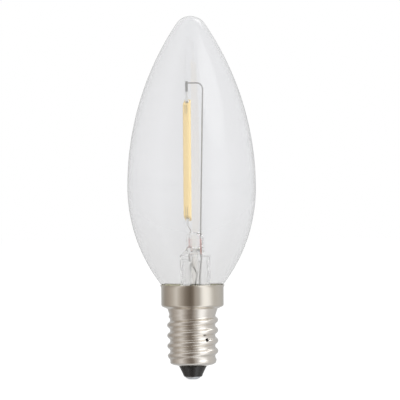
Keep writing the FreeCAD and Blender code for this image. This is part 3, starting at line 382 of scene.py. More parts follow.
def cap_side(angle, wall):
    """Reach, height and angle of every point of one side: the outline goes round, and on the sleeve the
    smaller of its own reach and the thread's holds."""
    outline, on_sleeve = sheet_side(wall)
    height = np.broadcast_to(outline[:, 1:], (len(outline), len(angle)))
    reach = np.broadcast_to(outline[:, :1], height.shape)
    turn = leaning(angle, height)
    rolled = np.minimum(thread_reach(turn, height, wall), reach)
    return np.where(on_sleeve[:, None], rolled, reach), height, turn


def cap_lip(outer, inner, height):
    """Half a circle from the outside of the rim to its inside: the middle of both reaches plus half their
    difference times the cosine, and the rim's height plus the lip's radius times the sine."""
    angle = np.linspace(0, math.pi, LIP_ROWS)[1:-1, None]
    return (outer + inner) / 2 + (outer - inner) / 2 * np.cos(angle), height + LIP_ROUND * np.sin(angle)


def cap_shell():
    """The rows and columns stand close together near the punched hole, so that its edge comes out smooth."""
    angle = np.linspace(0, math.tau, CAP_AROUND, endpoint=False)
    angle = np.union1d(angle, math.tau - BOARD_TURN + FINE_RUN / THREAD_RADIUS)
    outside, inside = cap_side(angle, 0), cap_side(angle, SHEET_WALL)
    lip = cap_lip(outside[0][-1], inside[0][-1], outside[1][-1])
    lip = (*lip, np.broadcast_to(angle, lip[0].shape))
    ring = [np.concatenate([outer, rim, inner[::-1]]) for outer, rim, inner in zip(outside, lip, inside)]
    reach, height, turn = ring
    turn, height, gaps = punched(turn, height, reach)
    grid = np.stack([reach * np.cos(turn), reach * np.sin(turn), height], axis=-1)
    wall = hole_wall(gaps)
    piece("rolled_cap", grid, "cap_shell", "nickel_plate", ring=True, sharp=32, gaps=gaps, more=wall)


cap_shell()

# %% [markdown]
# ## Black glass, contact and cement
# The foot of the cap is closed by black glass, poured in hot, and the centre contact is a drop of solder on
# its tip. At the rim a ring of baked cement fills the gap between metal and glass, and shows as a thin olive
# line. All three are simply turned.

# %% Sizes at the foot
CONTACT_RADIUS = 2.1
CONTACT_FLAT = 0.85
CONTACT_EDGE = 0.12
CONTACT_ARCH = 1.5
CONE_FOOT = 0.75
CONE_SWELL = [(2.35, CONE_FOOT), (2.6, 1.08), (2.74, 1.5)]
CONE_COLLAR = 3.75
COLLAR_ROUND = 0.2
COLLAR_JOIN = (CONE_COLLAR - 0.12, 0.3)
COLLAR_START = -0.4
GLASS_DISC_RADIUS = 5.2
GLASS_DISC_FOOT = 4.24
GLASS_DISC_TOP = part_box("cap_insulator")[1].z / MM
CEMENT_FOOT, CEMENT_TOP = (corner.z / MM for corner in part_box("capping_cement"))
print("cement from", round(CEMENT_FOOT, 2), "to", round(CEMENT_TOP, 2))


# %% Black glass
def black_glass():
    """A cone that swells out of its foot, steps in under the cap's hole and widens into a disc inside."""
    dish_slope = END_DISH_RISE / (END_DISH_RADIUS - END_HOLE_RADIUS)
    collar_height = END_HEIGHT + dish_slope * (CONE_COLLAR - END_HOLE_RADIUS)
    round_middle = (CONE_COLLAR - COLLAR_ROUND, collar_height - COLLAR_ROUND)
    dish_edge = (END_DISH_RADIUS, END_HEIGHT + END_DISH_RISE + SHEET_WALL)
    outline = np.concatenate([
        [(0, CONE_FOOT)],
        CONE_SWELL,
        run(CONE_SWELL[-1], (COLLAR_JOIN[0], collar_height - COLLAR_JOIN[1]), count=8)[1:],
        arc(round_middle, COLLAR_ROUND, COLLAR_START, math.pi / 2, count=6),
        run((END_HOLE_RADIUS, END_HEIGHT), (END_HOLE_RADIUS, END_HEIGHT + SHEET_WALL)),
        run(dish_edge, (GLASS_DISC_RADIUS, GLASS_DISC_FOOT)),
        run((GLASS_DISC_RADIUS, GLASS_DISC_TOP), (0, GLASS_DISC_TOP)),
    ])
    piece("black_glass_foot", turned(outline), "cap_insulator", "black_glass", sharp=50)


black_glass()


# %% Centre contact
def contact():
    """A low dome: an arc from the flat foot to the edge, then the edge itself and the flat back. The arc's
    middle is found from its radius and the chord between its two ends."""
    rise = CONE_FOOT - CONTACT_EDGE
    reach = CONTACT_RADIUS - CONTACT_FLAT
    dome = (reach**2 + rise**2) / (CONTACT_ARCH * rise)
    chord = math.hypot(reach, rise)
    turn = math.asin(chord / (2 * dome))
    lean = math.atan2(rise, reach)
    middle = (CONTACT_FLAT - dome * math.sin(lean - turn), dome * math.cos(lean - turn))
    outline = np.concatenate([
        [(0, 0)],
        arc(middle, dome, lean - turn - math.pi / 2, lean + turn - math.pi / 2, count=14),
        [(CONTACT_RADIUS, CONE_FOOT), (0, CONE_FOOT)],
    ])
    piece("solder_contact", turned(outline), "centre_contact", "solder")


contact()


# %% Cement ring
CEMENT_DIP = 0.1
CEMENT_POINTS = 7


def cement():
    """A ring between the inside of the skirt and the outside of the glass. Its top sinks in the middle by
    half a wave of a sine."""
    wall_reach = SKIRT_RADIUS - SHEET_WALL
    glass_side = envelope_side(0)
    beside = glass_side[(glass_side[:, 1] > CEMENT_FOOT) & (glass_side[:, 1] < CEMENT_TOP)][::-1]
    neck = np.concatenate([[(NECK_RADIUS, CEMENT_FOOT)], beside])
    flare = FLARE_ARC + SHEET_WALL
    open_height = CEMENT_TOP - RIM_HEIGHT + FLARE_HEIGHT
    mouth = wall_reach + flare - math.sqrt(flare**2 - open_height**2)
    dip = run(neck[-1], (mouth, CEMENT_TOP), count=CEMENT_POINTS)
    dip[:, 1] = CEMENT_TOP - CEMENT_DIP * np.sin(np.linspace(0, math.pi, CEMENT_POINTS))
    skirt = [(wall_reach, RIM_HEIGHT - FLARE_HEIGHT), (wall_reach, CEMENT_FOOT)]
    outline = np.concatenate([neck[:-1], dip, skirt])
    piece("cement_ring", turned(outline), "capping_cement", "cement", ring=True)


cement()

# %% [markdown]
# ## The glass stem
# The stem starts as a flared tube. While it is hot it is squeezed flat round the two wires, and a side hole
# is blown through its shoulder into the thin exhaust tube. That pressed lump is made best by the solid
# model, so its mesh is copied, its loose triangles are joined, and only the skin is smoothed. The exhaust
# tube is turned like the rest, about the stem's own axis.

# %% Stem
STEM_OFFSET = 0.8
STEM_TURN = math.radians(50)
EXHAUST_RADIUS = 1.5
EXHAUST_BORE = 1.0
EXHAUST_FOOT, EXHAUST_TOP = (corner.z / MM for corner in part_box("exhaust_tube"))


def smoothed_copy(name, node, slot, sharp):
    """The node's own triangles without their stored normals, joined and smoothed up to an angle."""
    mesh = frame["nodes"][node].data.copy()
    if mesh.has_custom_normals:
        mesh.attributes.remove(mesh.attributes["custom_normal"])
    mesh.name = name
    mesh.materials.clear()
    thing = in_scene(name, mesh)
    weld(mesh, sharp)
    return carried(thing, node, slot)


def exhaust():
    """A tube with a round closed tip below, open inside up to the stem."""
    tip = EXHAUST_FOOT + EXHAUST_RADIUS
    outline = np.concatenate([
        arc((0, tip), EXHAUST_RADIUS, -math.pi / 2, 0, count=14),
        run((EXHAUST_RADIUS, EXHAUST_TOP), (EXHAUST_BORE, EXHAUST_TOP)),
        arc((0, tip + EXHAUST_BORE), EXHAUST_BORE, 0, -math.pi / 2, count=12),
    ])
    return piece("exhaust_glass", turned(outline, x=STEM_OFFSET, around=64), "exhaust_tube", "stem_glass")


pressed_stem = smoothed_copy("pressed_stem", "stem_glass", "stem_glass", sharp=60)
exhaust_glass = exhaust()

# %% [markdown]
# ## Wires
# A wire is a circle carried along a path. The paths are straight runs joined by round bends, as pliers leave
# them. A curve object could do it, but here the path is also wanted as plain points. The circle needs two
# directions at right angles to the path: the first comes from the wire's own plane, found as the direction
# that the path uses least, so that the tube doesn't twist.

# %% Wire helpers
SHORT_RUN_SHARE = 0.45


def placed(points, x=0.0, y=0.0, turn=0.0):
    """Points turned about the vertical by an angle and then moved to x and y."""
    points = np.asarray(points, float)
    cosine, sine = math.cos(turn), math.sin(turn)
    across = points[:, 0] * cosine - points[:, 1] * sine
    along = points[:, 0] * sine + points[:, 1] * cosine
    return np.stack([x + across, y + along, points[:, 2]], axis=-1)


def bent_path(points, bend, count=9):
    """Straight runs with a tangent arc at every corner, smaller where its two runs are short. The middle
    lies on the line that halves the corner, and the chord's points are pushed out from it to the radius."""
    points = np.asarray(points, float)
    way = [points[:1]]
    for before, corner, after in zip(points, points[1:], points[2:]):
        back, onward = before - corner, after - corner
        short = min(np.linalg.norm(back), np.linalg.norm(onward))
        back, onward = back / np.linalg.norm(back), onward / np.linalg.norm(onward)
        half_turn = (math.pi - math.acos(np.clip(back @ onward, -1, 1))) / 2
        trim = min(bend * math.tan(half_turn), SHORT_RUN_SHARE * short)
        radius = trim / math.tan(half_turn)
        inward = (back + onward) / np.linalg.norm(back + onward)
        middle = corner + inward * radius / math.cos(half_turn)
        start, stop = corner + back * trim, corner + onward * trim
        share = np.linspace(0, 1, count)[:, None]
        chord = start * (1 - share) + stop * share - middle
        way.append(middle + radius * chord / np.linalg.norm(chord, axis=1, keepdims=True))
    way.append(points[-1:])
    return np.concatenate(way)


def tube(path, radius, around=20):
    """Circles across the path, with both ends drawn to a point in the middle of a flat disc."""
    ahead = np.gradient(path, axis=0)
    ahead = ahead / np.linalg.norm(ahead, axis=1, keepdims=True)
    least_used = np.linalg.svd(ahead)[2][-1]
    side = np.cross(ahead, least_used)
    side = side / np.linalg.norm(side, axis=1, keepdims=True)
    other = np.cross(ahead, side)
    angle = np.linspace(0, math.tau, around, endpoint=False)[None, :, None]
    skin = path[:, None] + radius * (side[:, None] * np.cos(angle) + other[:, None] * np.sin(angle))
    ends = [np.broadcast_to(point, (1, around, 3)) for point in (path[0], path[-1])]
    return np.concatenate([ends[0], skin, ends[1]])


# %% Sizes of the wires
WIRE_RADIUS = 0.2
SHORT_WIRE_RADIUS = 0.15
WIRE_BEND = 0.9
SEAL_MIDDLE, SEAL_SPREAD = 0.35, 2.1
SEAL_SIDES = {"front": SEAL_MIDDLE + SEAL_SPREAD, "back": SEAL_MIDDLE - SEAL_SPREAD}
SEAL_FOOT, SEAL_TOP = (corner.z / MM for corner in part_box("seal_wire_front"))
PRESS_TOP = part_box("stem_glass")[1].z / MM
CROSS_HEIGHT = 28.5
CROSS_MIDDLE, CROSS_SIDE = 1.8, 0.3
CROSS_X = {"front": CROSS_MIDDLE + CROSS_SIDE, "back": CROSS_MIDDLE - CROSS_SIDE}
CROSS_DEPTH = 2.35
SUPPORT_X, SUPPORT_FRONT = 3.2, 1.5
SUPPORT_TOP = 80.7
SUPPORT_BEND = 1.8
FILAMENT_X, FILAMENT_Y = -1.05, 0.3
FILAMENT_TURN = math.radians(30)
FILAMENT_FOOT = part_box("phosphor_coat")[0].z / MM
TAB_WIDTH = 0.7
TAB_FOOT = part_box("terminal_bottom")[0].z / MM
WIRE_DEPTH = -0.02
BOARD_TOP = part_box("driver_board")[1].z / MM
LEAD_SPACING = 2.4


# %% Wires through the press
GRIP = 0.004


def on_stem(*points):
    """Points in the stem's own turned frame, moved to where the stem stands."""
    return placed(points, x=STEM_OFFSET, turn=-STEM_TURN)


def through_the_press():
    """On each side a copper-clad wire in the glass, a little thicker than the hole that it fills, and a
    nickel wire below it, past the exhaust tube and down to the board."""
    for name, side in SEAL_SIDES.items():
        upright = on_stem((side, 0, SEAL_FOOT), (side, 0, SEAL_TOP))
        sealed = tube(run(upright[0], upright[1], count=12), WIRE_RADIUS + GRIP)
        piece("sealed_wire_" + name, sealed, "seal_wire_" + name, "copper_clad_wire")
        sign = 1 if name == "front" else -1
        foot = sign * LEAD_SPACING
        way = np.concatenate([
            on_stem((side, 0, SEAL_FOOT), (side, 0, EXHAUST_TOP - 2 * WIRE_RADIUS)),
            [(CROSS_X[name], -sign * CROSS_DEPTH, CROSS_HEIGHT)],
            placed([(foot, 0, EXHAUST_FOOT + EXHAUST_RADIUS), (foot, 0, BOARD_TOP)], turn=-BOARD_TURN),
        ])
        lead = tube(bent_path(way, WIRE_BEND), WIRE_RADIUS)
        piece("lead_to_driver_" + name, lead, "outer_lead_" + name, "nickel_wire")


through_the_press()


# %% Support wire and short wire
def on_filament(*points):
    """Points in the filament's own turned frame, moved to where the filament stands."""
    return placed(points, x=FILAMENT_X, y=FILAMENT_Y, turn=-FILAMENT_TURN)


def filament_wires():
    """The tall wire leans out beside the filament and bends over to its top. The short one goes to its
    foot in two slight bends."""
    front, back = SEAL_SIDES["front"], SEAL_SIDES["back"]
    way = np.concatenate([
        on_stem((front, 0, SEAL_TOP), (front, 0, PRESS_TOP + WIRE_BEND)),
        [(SUPPORT_X, -SUPPORT_FRONT, SUPPORT_TOP)],
        on_filament((-TAB_WIDTH / 2, WIRE_DEPTH, SUPPORT_TOP)),
    ])
    piece("tall_wire", tube(bent_path(way, SUPPORT_BEND), WIRE_RADIUS), "support_wire", "nickel_wire")
    way = np.concatenate([
        on_stem((back, 0, SEAL_TOP), (back, 0, PRESS_TOP + WIRE_BEND / 2)),
        on_filament((0, WIRE_DEPTH, TAB_FOOT + WIRE_RADIUS), (0, WIRE_DEPTH, FILAMENT_FOOT - WIRE_RADIUS)),
    ])
    piece("short_wire", tube(bent_path(way, WIRE_BEND), SHORT_WIRE_RADIUS), "short_lead_wire", "nickel_wire")


filament_wires()

# %% [markdown]
# ## The filament's coat
# The filament is a strip of chips that is dipped in silicone with yellow phosphor. The coat is a bar with
# soft edges, its front shorter than its back, and it swells a little over every chip. A box with a Bevel
# modifier would leave the swelling out, so each row of points is a squared circle whose size changes along
# the bar.

# %% Coat
COAT_HALF_WIDTH, COAT_HALF_DEPTH = 1.04, 0.7
COAT_SHIFT = -0.12
COAT_LENGTH = 33.4
COAT_SLOPE = 1.6
COAT_END_ROUND = 0.3
COAT_SQUARENESS = 4.5
CHIP_COUNT = 28
CHIP_MARGIN = 4.4
CHIP_SWELL = 0.012
COAT_AROUND, COAT_ROWS, COAT_END_ROWS = 56, 340, 8


def coat():
    """Across and depth are powers of cosine and sine; along the bar they shrink in a quarter circle at both
    ends, and the width rises by a cosine over every chip. The front is shorter by the slope at each end, and
    the whole coat sits a little to one side of its strip."""
    angle = np.linspace(0, math.tau, COAT_AROUND, endpoint=False)[None, :]
    power = 2 / COAT_SQUARENESS
    across = np.sign(np.cos(angle)) * np.abs(np.cos(angle)) ** power
    depth = np.sign(np.sin(angle)) * np.abs(np.sin(angle)) ** power
    end = COAT_END_ROUND * (1 - np.cos(np.linspace(0, math.pi / 2, COAT_END_ROWS)))
    between = np.linspace(COAT_END_ROUND, COAT_LENGTH - COAT_END_ROUND, COAT_ROWS)[1:-1]
    along = np.concatenate([end, between, COAT_LENGTH - end[::-1]])[:, None]
    from_end = np.minimum(np.minimum(along, COAT_LENGTH - along), COAT_END_ROUND)
    inset = COAT_END_ROUND - np.sqrt(COAT_END_ROUND**2 - (COAT_END_ROUND - from_end) ** 2)
    chips = (along - CHIP_MARGIN) / (COAT_LENGTH - 2 * CHIP_MARGIN)
    wave = CHIP_SWELL * np.cos(math.tau * CHIP_COUNT * chips) * (np.abs(chips - 0.5) < 0.5)
    x = COAT_SHIFT + (COAT_HALF_WIDTH - CHIP_SWELL + wave - inset) * across
    y = (COAT_HALF_DEPTH - inset) * depth
    short = COAT_SLOPE * (COAT_HALF_DEPTH - y) / (2 * COAT_HALF_DEPTH)
    z = FILAMENT_FOOT + short + along * (COAT_LENGTH - 2 * short) / COAT_LENGTH
    grid = np.stack([x, y, z], axis=-1)
    ends = [np.broadcast_to(row.mean(axis=0), (1, *row.shape)) for row in (grid[0], grid[-1])]
    grid = np.concatenate([ends[0], grid, ends[1]])
    grid = on_filament(*grid.reshape(-1, 3)).reshape(grid.shape)
    piece("silicone_coat", grid, "phosphor_coat", "phosphor_silicone")


coat()

# %% [markdown]
# ## Writing a finish
# Every finish is a Principled shader. A small class wraps a socket, so that shader maths reads like
# arithmetic: a sum or a product adds the Math node that it stands for. What is the same all over a surface
# is set on the shader's own socket, and only what changes over the surface comes through nodes.

# %% Shader helper
SOFT_FROM = 0.8
CAMERA_RAY, GLOSSY_RAY, THROUGH_RAY = 0, 3, 6


class Wire:
    """One output socket of a tree of nodes, with arithmetic."""

    def __init__(self, tree, socket):
        self.tree, self.socket = tree, socket

    def math(self, operation, other):
        """The Math node's result from this socket and another socket or number."""
        return self.tree.add("ShaderNodeMath", {"operation": operation}, {0: self, 1: other})[0]

    def __add__(self, other):
        return self.math("ADD", other)

    def __mul__(self, other):
        return self.math("MULTIPLY", other)

    __radd__, __rmul__ = __add__, __mul__


class Finish:
    """A material's nodes, or the world's."""

    def __init__(self, owner):
        owner.use_nodes = True
        self.owner = owner
        self.nodes, self.links = owner.node_tree.nodes, owner.node_tree.links
        self.nodes.clear()

    def add(self, kind, settings=None, sockets=None):
        """A node of any kind: its settings first, then the values or links of its sockets."""
        node = self.nodes.new(kind)
        for key, value in (settings or {}).items():
            if key == "stops":
                self.set_stops(node.color_ramp, value)
            else:
                setattr(node, key, value)
        for key, value in (sockets or {}).items():
            self.feed(node.inputs[key], value)
        return [Wire(self, socket) for socket in node.outputs]

    def feed(self, socket, value):
        """Links the socket to a wire, or sets it to a value."""
        if isinstance(value, Wire):
            self.links.new(value.socket, socket)
        else:
            socket.default_value = value

    def set_stops(self, ramp, stops):
        """Puts each colour of a ramp at its place."""
        ramp.elements[0].position, ramp.elements[1].position = stops[0][0], stops[-1][0]
        for place, _ in stops[1:-1]:
            ramp.elements.new(place)
        for element, (_, colour) in zip(ramp.elements, stops):
            element.color = colour

    def blend(self, share, low, high):
        """Colour mix: low where share is 0, high where it is 1."""
        sockets = {"Factor": share, 6: low, 7: high}
        return self.add("ShaderNodeMix", {"data_type": "RGBA"}, sockets)[2]

    def step(self, value, off, on):
        """0 where the value is off and 1 where it is on, with the level ends that eased() has."""
        sockets = {0: value, 1: off, 2: on}
        return self.add("ShaderNodeMapRange", {"interpolation_type": "SMOOTHSTEP"}, sockets)[0]

    def place(self):
        """Where a point of the piece is, in metres."""
        return self.add("ShaderNodeTexCoord")[3]

    def height(self):
        """How high up a point of the piece is, in metres."""
        return self.add("ShaderNodeSeparateXYZ", None, {0: self.place()})[2]

    def within(self, middle, reach):
        """1 near a point of the piece and 0 beyond the reach, in metres, with a soft edge."""
        away = self.add("ShaderNodeVectorMath", {"operation": "DISTANCE"}, {0: self.place(), 1: middle})[1]
        return self.step(away, reach, SOFT_FROM * reach)

    def noise(self, scale, detail=2.0, place=None):
        """Soft patches from 0 to 1. The scale is how many there are in a metre."""
        sockets = {"Vector": place or self.place(), "Scale": scale, "Detail": detail}
        return self.add("ShaderNodeTexNoise", None, sockets)[0]

    def bump(self, height, strength, distance):
        """The surface's direction as if the height stood up by a distance in metres."""
        sockets = {"Height": height, "Strength": strength, "Distance": distance}
        return self.add("ShaderNodeBump", None, sockets)[0]

    def straight_view(self):
        """1 for what the camera sees, directly or through glass, and 0 for all other rays."""
        rays = self.add("ShaderNodeLightPath")
        return rays[CAMERA_RAY].math("MAXIMUM", rays[THROUGH_RAY])

    def principled(self, **sockets):
        """The Principled shader, joined to the material's output."""
        sockets = {key.replace("_", " "): value for key, value in sockets.items()}
        shader = self.add("ShaderNodeBsdfPrincipled", None, sockets)[0]
        self.add("ShaderNodeOutputMaterial", None, {"Surface": shader})
        return self.owner


def finish(slot):
    """A new material with no nodes yet."""
    return Finish(bpy.data.materials.new(slot))


def paint(red, green, blue):
    """A colour that covers fully."""
    return (red, green, blue, 1.0)


def grey(level):
    """A colour with equal parts of red, green and blue."""
    return paint(level, level, level)


# %% [markdown]
# ## Glass
# Clear glass shows by how it bends light: its edges go dark where it bends most. The envelope has a real
# wall, so this happens by itself, but in a small picture a real index of refraction, about 1.5, draws the
# edge too thin, so the index is higher. A slight grey is what the eye sees as the body of the glass. The
# stem's lump is thick and a little wavy from the press. With a real index it would look nearly black, so its
# index is lower and a share of the light goes straight through. Black glass lets nothing through.

# %% Glass finishes
GREY_FROM, CLEAR_FROM = 0.018, 0.055


def clear_glass():
    """The wall gathers a little towards the neck, so its grey is blended in with falling height."""
    f = finish("clear_glass")
    shade = f.blend(f.step(f.height(), GREY_FROM, CLEAR_FROM), grey(0.845), paint(0.9, 0.902, 0.911))
    return f.principled(Base_Color=shade, Roughness=0.0, IOR=1.66, Transmission_Weight=1.0)


def stem_glass():
    """A faint warm tint, and slow waves on the skin from a coarse noise."""
    f = finish("stem_glass")
    wave = f.bump(f.noise(scale=420.0, detail=1.0), strength=0.15, distance=0.0002)
    shade = paint(0.975, 0.972, 0.962)
    return f.principled(
        Base_Color=shade, Roughness=0.0, IOR=1.25, Transmission_Weight=1.0, Alpha=0.7, Normal=wave,
    )


def opaque_black_glass():
    """Two near blacks in patches, and the slightly uneven skin of poured glass."""
    f = finish("black_glass")
    shade = f.blend(f.noise(scale=900.0), paint(0.012, 0.012, 0.013), paint(0.022, 0.021, 0.02))
    skin = f.bump(f.noise(scale=700.0), strength=0.2, distance=0.0001)
    return f.principled(Base_Color=shade, Roughness=0.16, IOR=1.52, Normal=skin)


# %% [markdown]
# ## Metals
# The cap is brass with a thin satin coat of nickel, rolled and drawn, so fine marks run round it: a noise
# that is stretched along the turns makes the gloss uneven. Its rolled thread is painted lighter than the
# skirt, as painted highlight. The contact is solder that set as a drop, a little frosted. The wires are
# drawn nickel. The short wire is painted near white, as painted highlight. The cap's punched hole and the
# end of the wire fixed in it are painted black, as painted shade inside the hole. In the glass the wires
# are clad in copper, which turns pinkish. The filament's terminals are bright plated sheet, painted darker
# round the upper weld as painted shade, and filmed with silicone at their ears.

# %% Metal finishes
PUNCHED_END = (0.00367, -0.00487, 0.01087)
PUNCHED_HOLE = (0.0039, -0.0052, 0.01087)
# Painted shade: near black on the edge and wall of the punched hole and on the wire's end inside it.
HOLE_SHADE_REACH = 0.00052
PAINTED_HOLE_SHADE = paint(0.012, 0.011, 0.01)
SMOOTH_ABOVE, ROLLED_BELOW = 0.0205, 0.019
# Painted highlight: share of a lighter colour blended onto the rolled thread.
ROLLED_PAINTED_HIGHLIGHT = 0.75
PLATE_ROUGH, RINGS_ADD, PATCHES_ADD, ROLLED_ADDS = 0.09, 0.07, 0.05, 0.09
SOLDER_ROUGH, FROST_ADDS = 0.32, 0.2
UNEVEN = 0.1


def stretched(f, along, across):
    """Place in the piece, squeezed so that a noise becomes fine rings round the vertical."""
    sockets = {"Vector": f.place(), "Scale": (along, along, across)}
    return f.add("ShaderNodeMapping", {"vector_type": "POINT"}, sockets)[0]


def nickel_plate():
    """The roughness is a base plus shares of the rings, the patches and the rolled thread, which is also
    painted lighter than the skirt, as painted highlight. In and round the punched hole the plate is
    painted near black, as painted shade."""
    f = finish("nickel_plate")
    rings = f.noise(scale=1.0, detail=3.0, place=stretched(f, along=60.0, across=2600.0))
    patches = f.noise(scale=230.0, detail=3.0)
    rolled = f.step(f.height(), SMOOTH_ABOVE, ROLLED_BELOW)
    colour = f.blend(patches, paint(0.76, 0.71, 0.63), paint(0.84, 0.80, 0.73))
    # Painted highlight: the rolled thread is painted lighter than the skirt.
    colour = f.blend(rolled * ROLLED_PAINTED_HIGHLIGHT, colour, paint(0.93, 0.895, 0.85))
    # Painted shade in and round the punched hole.
    colour = f.blend(f.within(PUNCHED_HOLE, HOLE_SHADE_REACH), colour, PAINTED_HOLE_SHADE)
    satin = PLATE_ROUGH + rings * RINGS_ADD + patches * PATCHES_ADD + rolled * ROLLED_ADDS
    marks = f.bump(rings, strength=0.05, distance=0.00002)
    return f.principled(Base_Color=colour, Metallic=1.0, Roughness=satin, Normal=marks)


def solder():
    """Cool bright metal. A fine noise moves the colour, the gloss and the skin together, as frost does."""
    f = finish("solder")
    frost = f.noise(scale=1500.0, detail=4.0)
    colour = f.blend(frost, paint(0.72, 0.75, 0.79), paint(0.88, 0.92, 0.97))
    satin = SOLDER_ROUGH + frost * FROST_ADDS
    skin = f.bump(frost, strength=0.3, distance=0.00005)
    return f.principled(Base_Color=colour, Metallic=1.0, Roughness=satin, Normal=skin)


def drawn_metal(slot, low, high, roughness, *spots):
    """A wire or a stamped sheet: two close shades in patches, an even satin, and spots of another shade,
    each with its middle and reach."""
    f = finish(slot)
    patches = f.noise(scale=800.0, detail=3.0)
    colour = f.blend(patches, low, high)
    for middle, reach, shade in spots:
        colour = f.blend(f.within(middle, reach), colour, shade)
    return f.principled(Base_Color=colour, Metallic=1.0, Roughness=roughness + patches * UNEVEN)


# %% Wires, terminals and can
SHORT_WIRE_MIDDLE = (-0.0009, 0.0003, 0.042)
UPPER_WELD = (-0.0014, 0.0001, 0.081)
UPPER_EARS, LOWER_EARS = (-0.0011, -0.0003, 0.0736), (-0.0011, -0.0003, 0.0458)
FILMED = paint(0.62, 0.53, 0.38)

# Slot: darker shade, lighter shade, roughness, and the spots
drawn_metals = {
    "nickel_wire": (
        paint(0.42, 0.41, 0.4), paint(0.56, 0.55, 0.53), 0.28,
        # Painted shade: the wire's end in the punched hole is painted near black.
        (PUNCHED_END, 0.0016, PAINTED_HOLE_SHADE),
        # Painted highlight: the short wire is painted near white along the middle of its run.
        (SHORT_WIRE_MIDDLE, 0.0034, paint(0.98, 0.97, 0.95)),
    ),
    "copper_clad_wire": (paint(0.74, 0.44, 0.41), paint(0.84, 0.56, 0.52), 0.35),
    "terminal_metal": (
        paint(0.9, 0.9, 0.89), paint(0.97, 0.97, 0.96), 0.3,
        # Painted shade: the tab is painted darker round the upper weld.
        (UPPER_WELD, 0.003, paint(0.46, 0.46, 0.45)),
        (UPPER_EARS, 0.0023, FILMED),
        (LOWER_EARS, 0.0023, FILMED),
    ),
    "capacitor_can": (paint(0.6, 0.6, 0.61), paint(0.72, 0.72, 0.73), 0.3),
}

# %% [markdown]
# ## Filament, cement and driver
# The filament is a ceramic strip with chips under silicone filled with yellow phosphor, which looks like
# cream-coloured rubber. The cement is baked and grainy. The driver's parts are hidden by the cap, and get
# the plain finishes of a board, black moulded cases, a bare can and a lacquered barrel.

# %% Other finishes
GRAIN_HEIGHT = 0.0001


def speckled(slot, low, high, roughness, scale, grain=0.0):
    """Two close colours in fine specks. Where there is a grain, the specks also stand up."""
    f = finish(slot)
    specks = f.noise(scale, detail=4.0)
    colour, satin = f.blend(specks, low, high), roughness + specks * UNEVEN
    relief = {"Normal": f.bump(specks, grain, GRAIN_HEIGHT)} if grain else {}
    return f.principled(Base_Color=colour, Roughness=satin, **relief)


# Slot: darker colour, lighter colour, roughness, specks in a metre, and the strength of a grain
speckled_stuffs = {
    "phosphor_silicone": (paint(0.95, 0.73, 0.37), paint(0.99, 0.79, 0.43), 0.4, 1600.0, 0.1),
    "cement": (paint(0.30, 0.29, 0.09), paint(0.46, 0.45, 0.19), 0.75, 2200.0, 0.4),
    "ceramic": (paint(0.82, 0.82, 0.8), paint(0.9, 0.9, 0.88), 0.5, 1200.0),
    "chip": (paint(0.2, 0.26, 0.34), paint(0.3, 0.38, 0.48), 0.2, 1500.0),
    "board": (paint(0.03, 0.13, 0.05), paint(0.05, 0.2, 0.08), 0.45, 900.0),
    "component_black": (paint(0.015, 0.015, 0.016), paint(0.035, 0.035, 0.037), 0.5, 1500.0),
    "resistor_coat": (paint(0.1, 0.24, 0.16), paint(0.16, 0.32, 0.22), 0.4, 1100.0),
    "sleeve_plastic": (paint(0.72, 0.7, 0.66), paint(0.82, 0.8, 0.76), 0.5, 600.0),
}
finishes = {
    "clear_glass": clear_glass(), "stem_glass": stem_glass(), "black_glass": opaque_black_glass(),
    "nickel_plate": nickel_plate(), "solder": solder(),
}
finishes |= {slot: drawn_metal(slot, *values) for slot, values in drawn_metals.items()}
finishes |= {slot: speckled(slot, *values) for slot, values in speckled_stuffs.items()}
print(len(finishes), "finishes")

# %% Dress every piece
for thing, slot in dressed.items():
    thing.data.materials.clear()
    thing.data.materials.append(finishes[slot])

for part in frame["record"]["subparts"]:
    node = frame["nodes"][part["node"]]
    node.data.materials.clear()
    node.data.materials.append(finishes[part["material_slot"]])

# %% [markdown]
# ## Letting light into the glass
# Real light passes through clear glass and falls on the filament behind it. A path tracer finds that way
# only by luck, so the clear pieces cast no shadow: the lamps then reach everything inside them directly.

# %% Clear pieces cast no shadow
for clear in (blown_envelope, pressed_stem, exhaust_glass):
    clear.visible_shadow = False

# %% [markdown]
# ## The studio
# Metal and glass show what stands round them, so the studio matters as much as the finish. For reflections
# the world is a ring of soft panels: its brightness changes with the direction round the bulb, dark where
# the camera stands and bright at its right. Two windows hang above the ring. The lower one gives the thread
# its highlights, and the high one gives the glint beside the tip of the glass. To the camera, and through
# the glass, the world is plain white. Lamps give the soft shape to everything that isn't glossy.

# %% World
# Bearing in degrees from the front, brightness, warmth
PANELS = [
    (-180, 0.58, 0.0), (-150, 0.48, 0.0), (-121, 0.34, 0.15), (-101, 0.4, 0.2), (-80, 0.52, 0.2),
    (-62, 0.72, 0.2), (-46, 0.48, 0.2), (-26, 0.24, 0.2), (-8, 0.14, 0.2), (3, 0.2, 0.2), (10, 0.4, 0.2),
    (25, 0.5, 0.1), (34, 0.85, 0.1), (41, 1.06, 0.1), (53, 1.1, 0.1), (66, 0.98, 0.1), (78, 0.7, 0.1),
    (89, 0.57, 0.1), (112, 0.56, 0.05), (147, 0.5, 0.0), (180, 0.58, 0.0),
]
# Bearing, height above the horizon, light, and the cosines to its middle where it begins and where it is full
WINDOWS = [
    (math.radians(54), math.radians(36), 1.5, 0.9, 0.97),
    (math.radians(124), math.radians(55), 2.2, 0.955, 0.985),
]
CEILING_FROM, CEILING_FULL, CEILING_LIGHT = 0.7, 0.98, 0.8
WORLD_LIGHT = 0.62


def direction(bearing, height):
    """Unit vector at a bearing from the front, positive to the right, and a height above the horizon."""
    return (math.sin(bearing) * math.cos(height), -math.cos(bearing) * math.cos(height), math.sin(height))


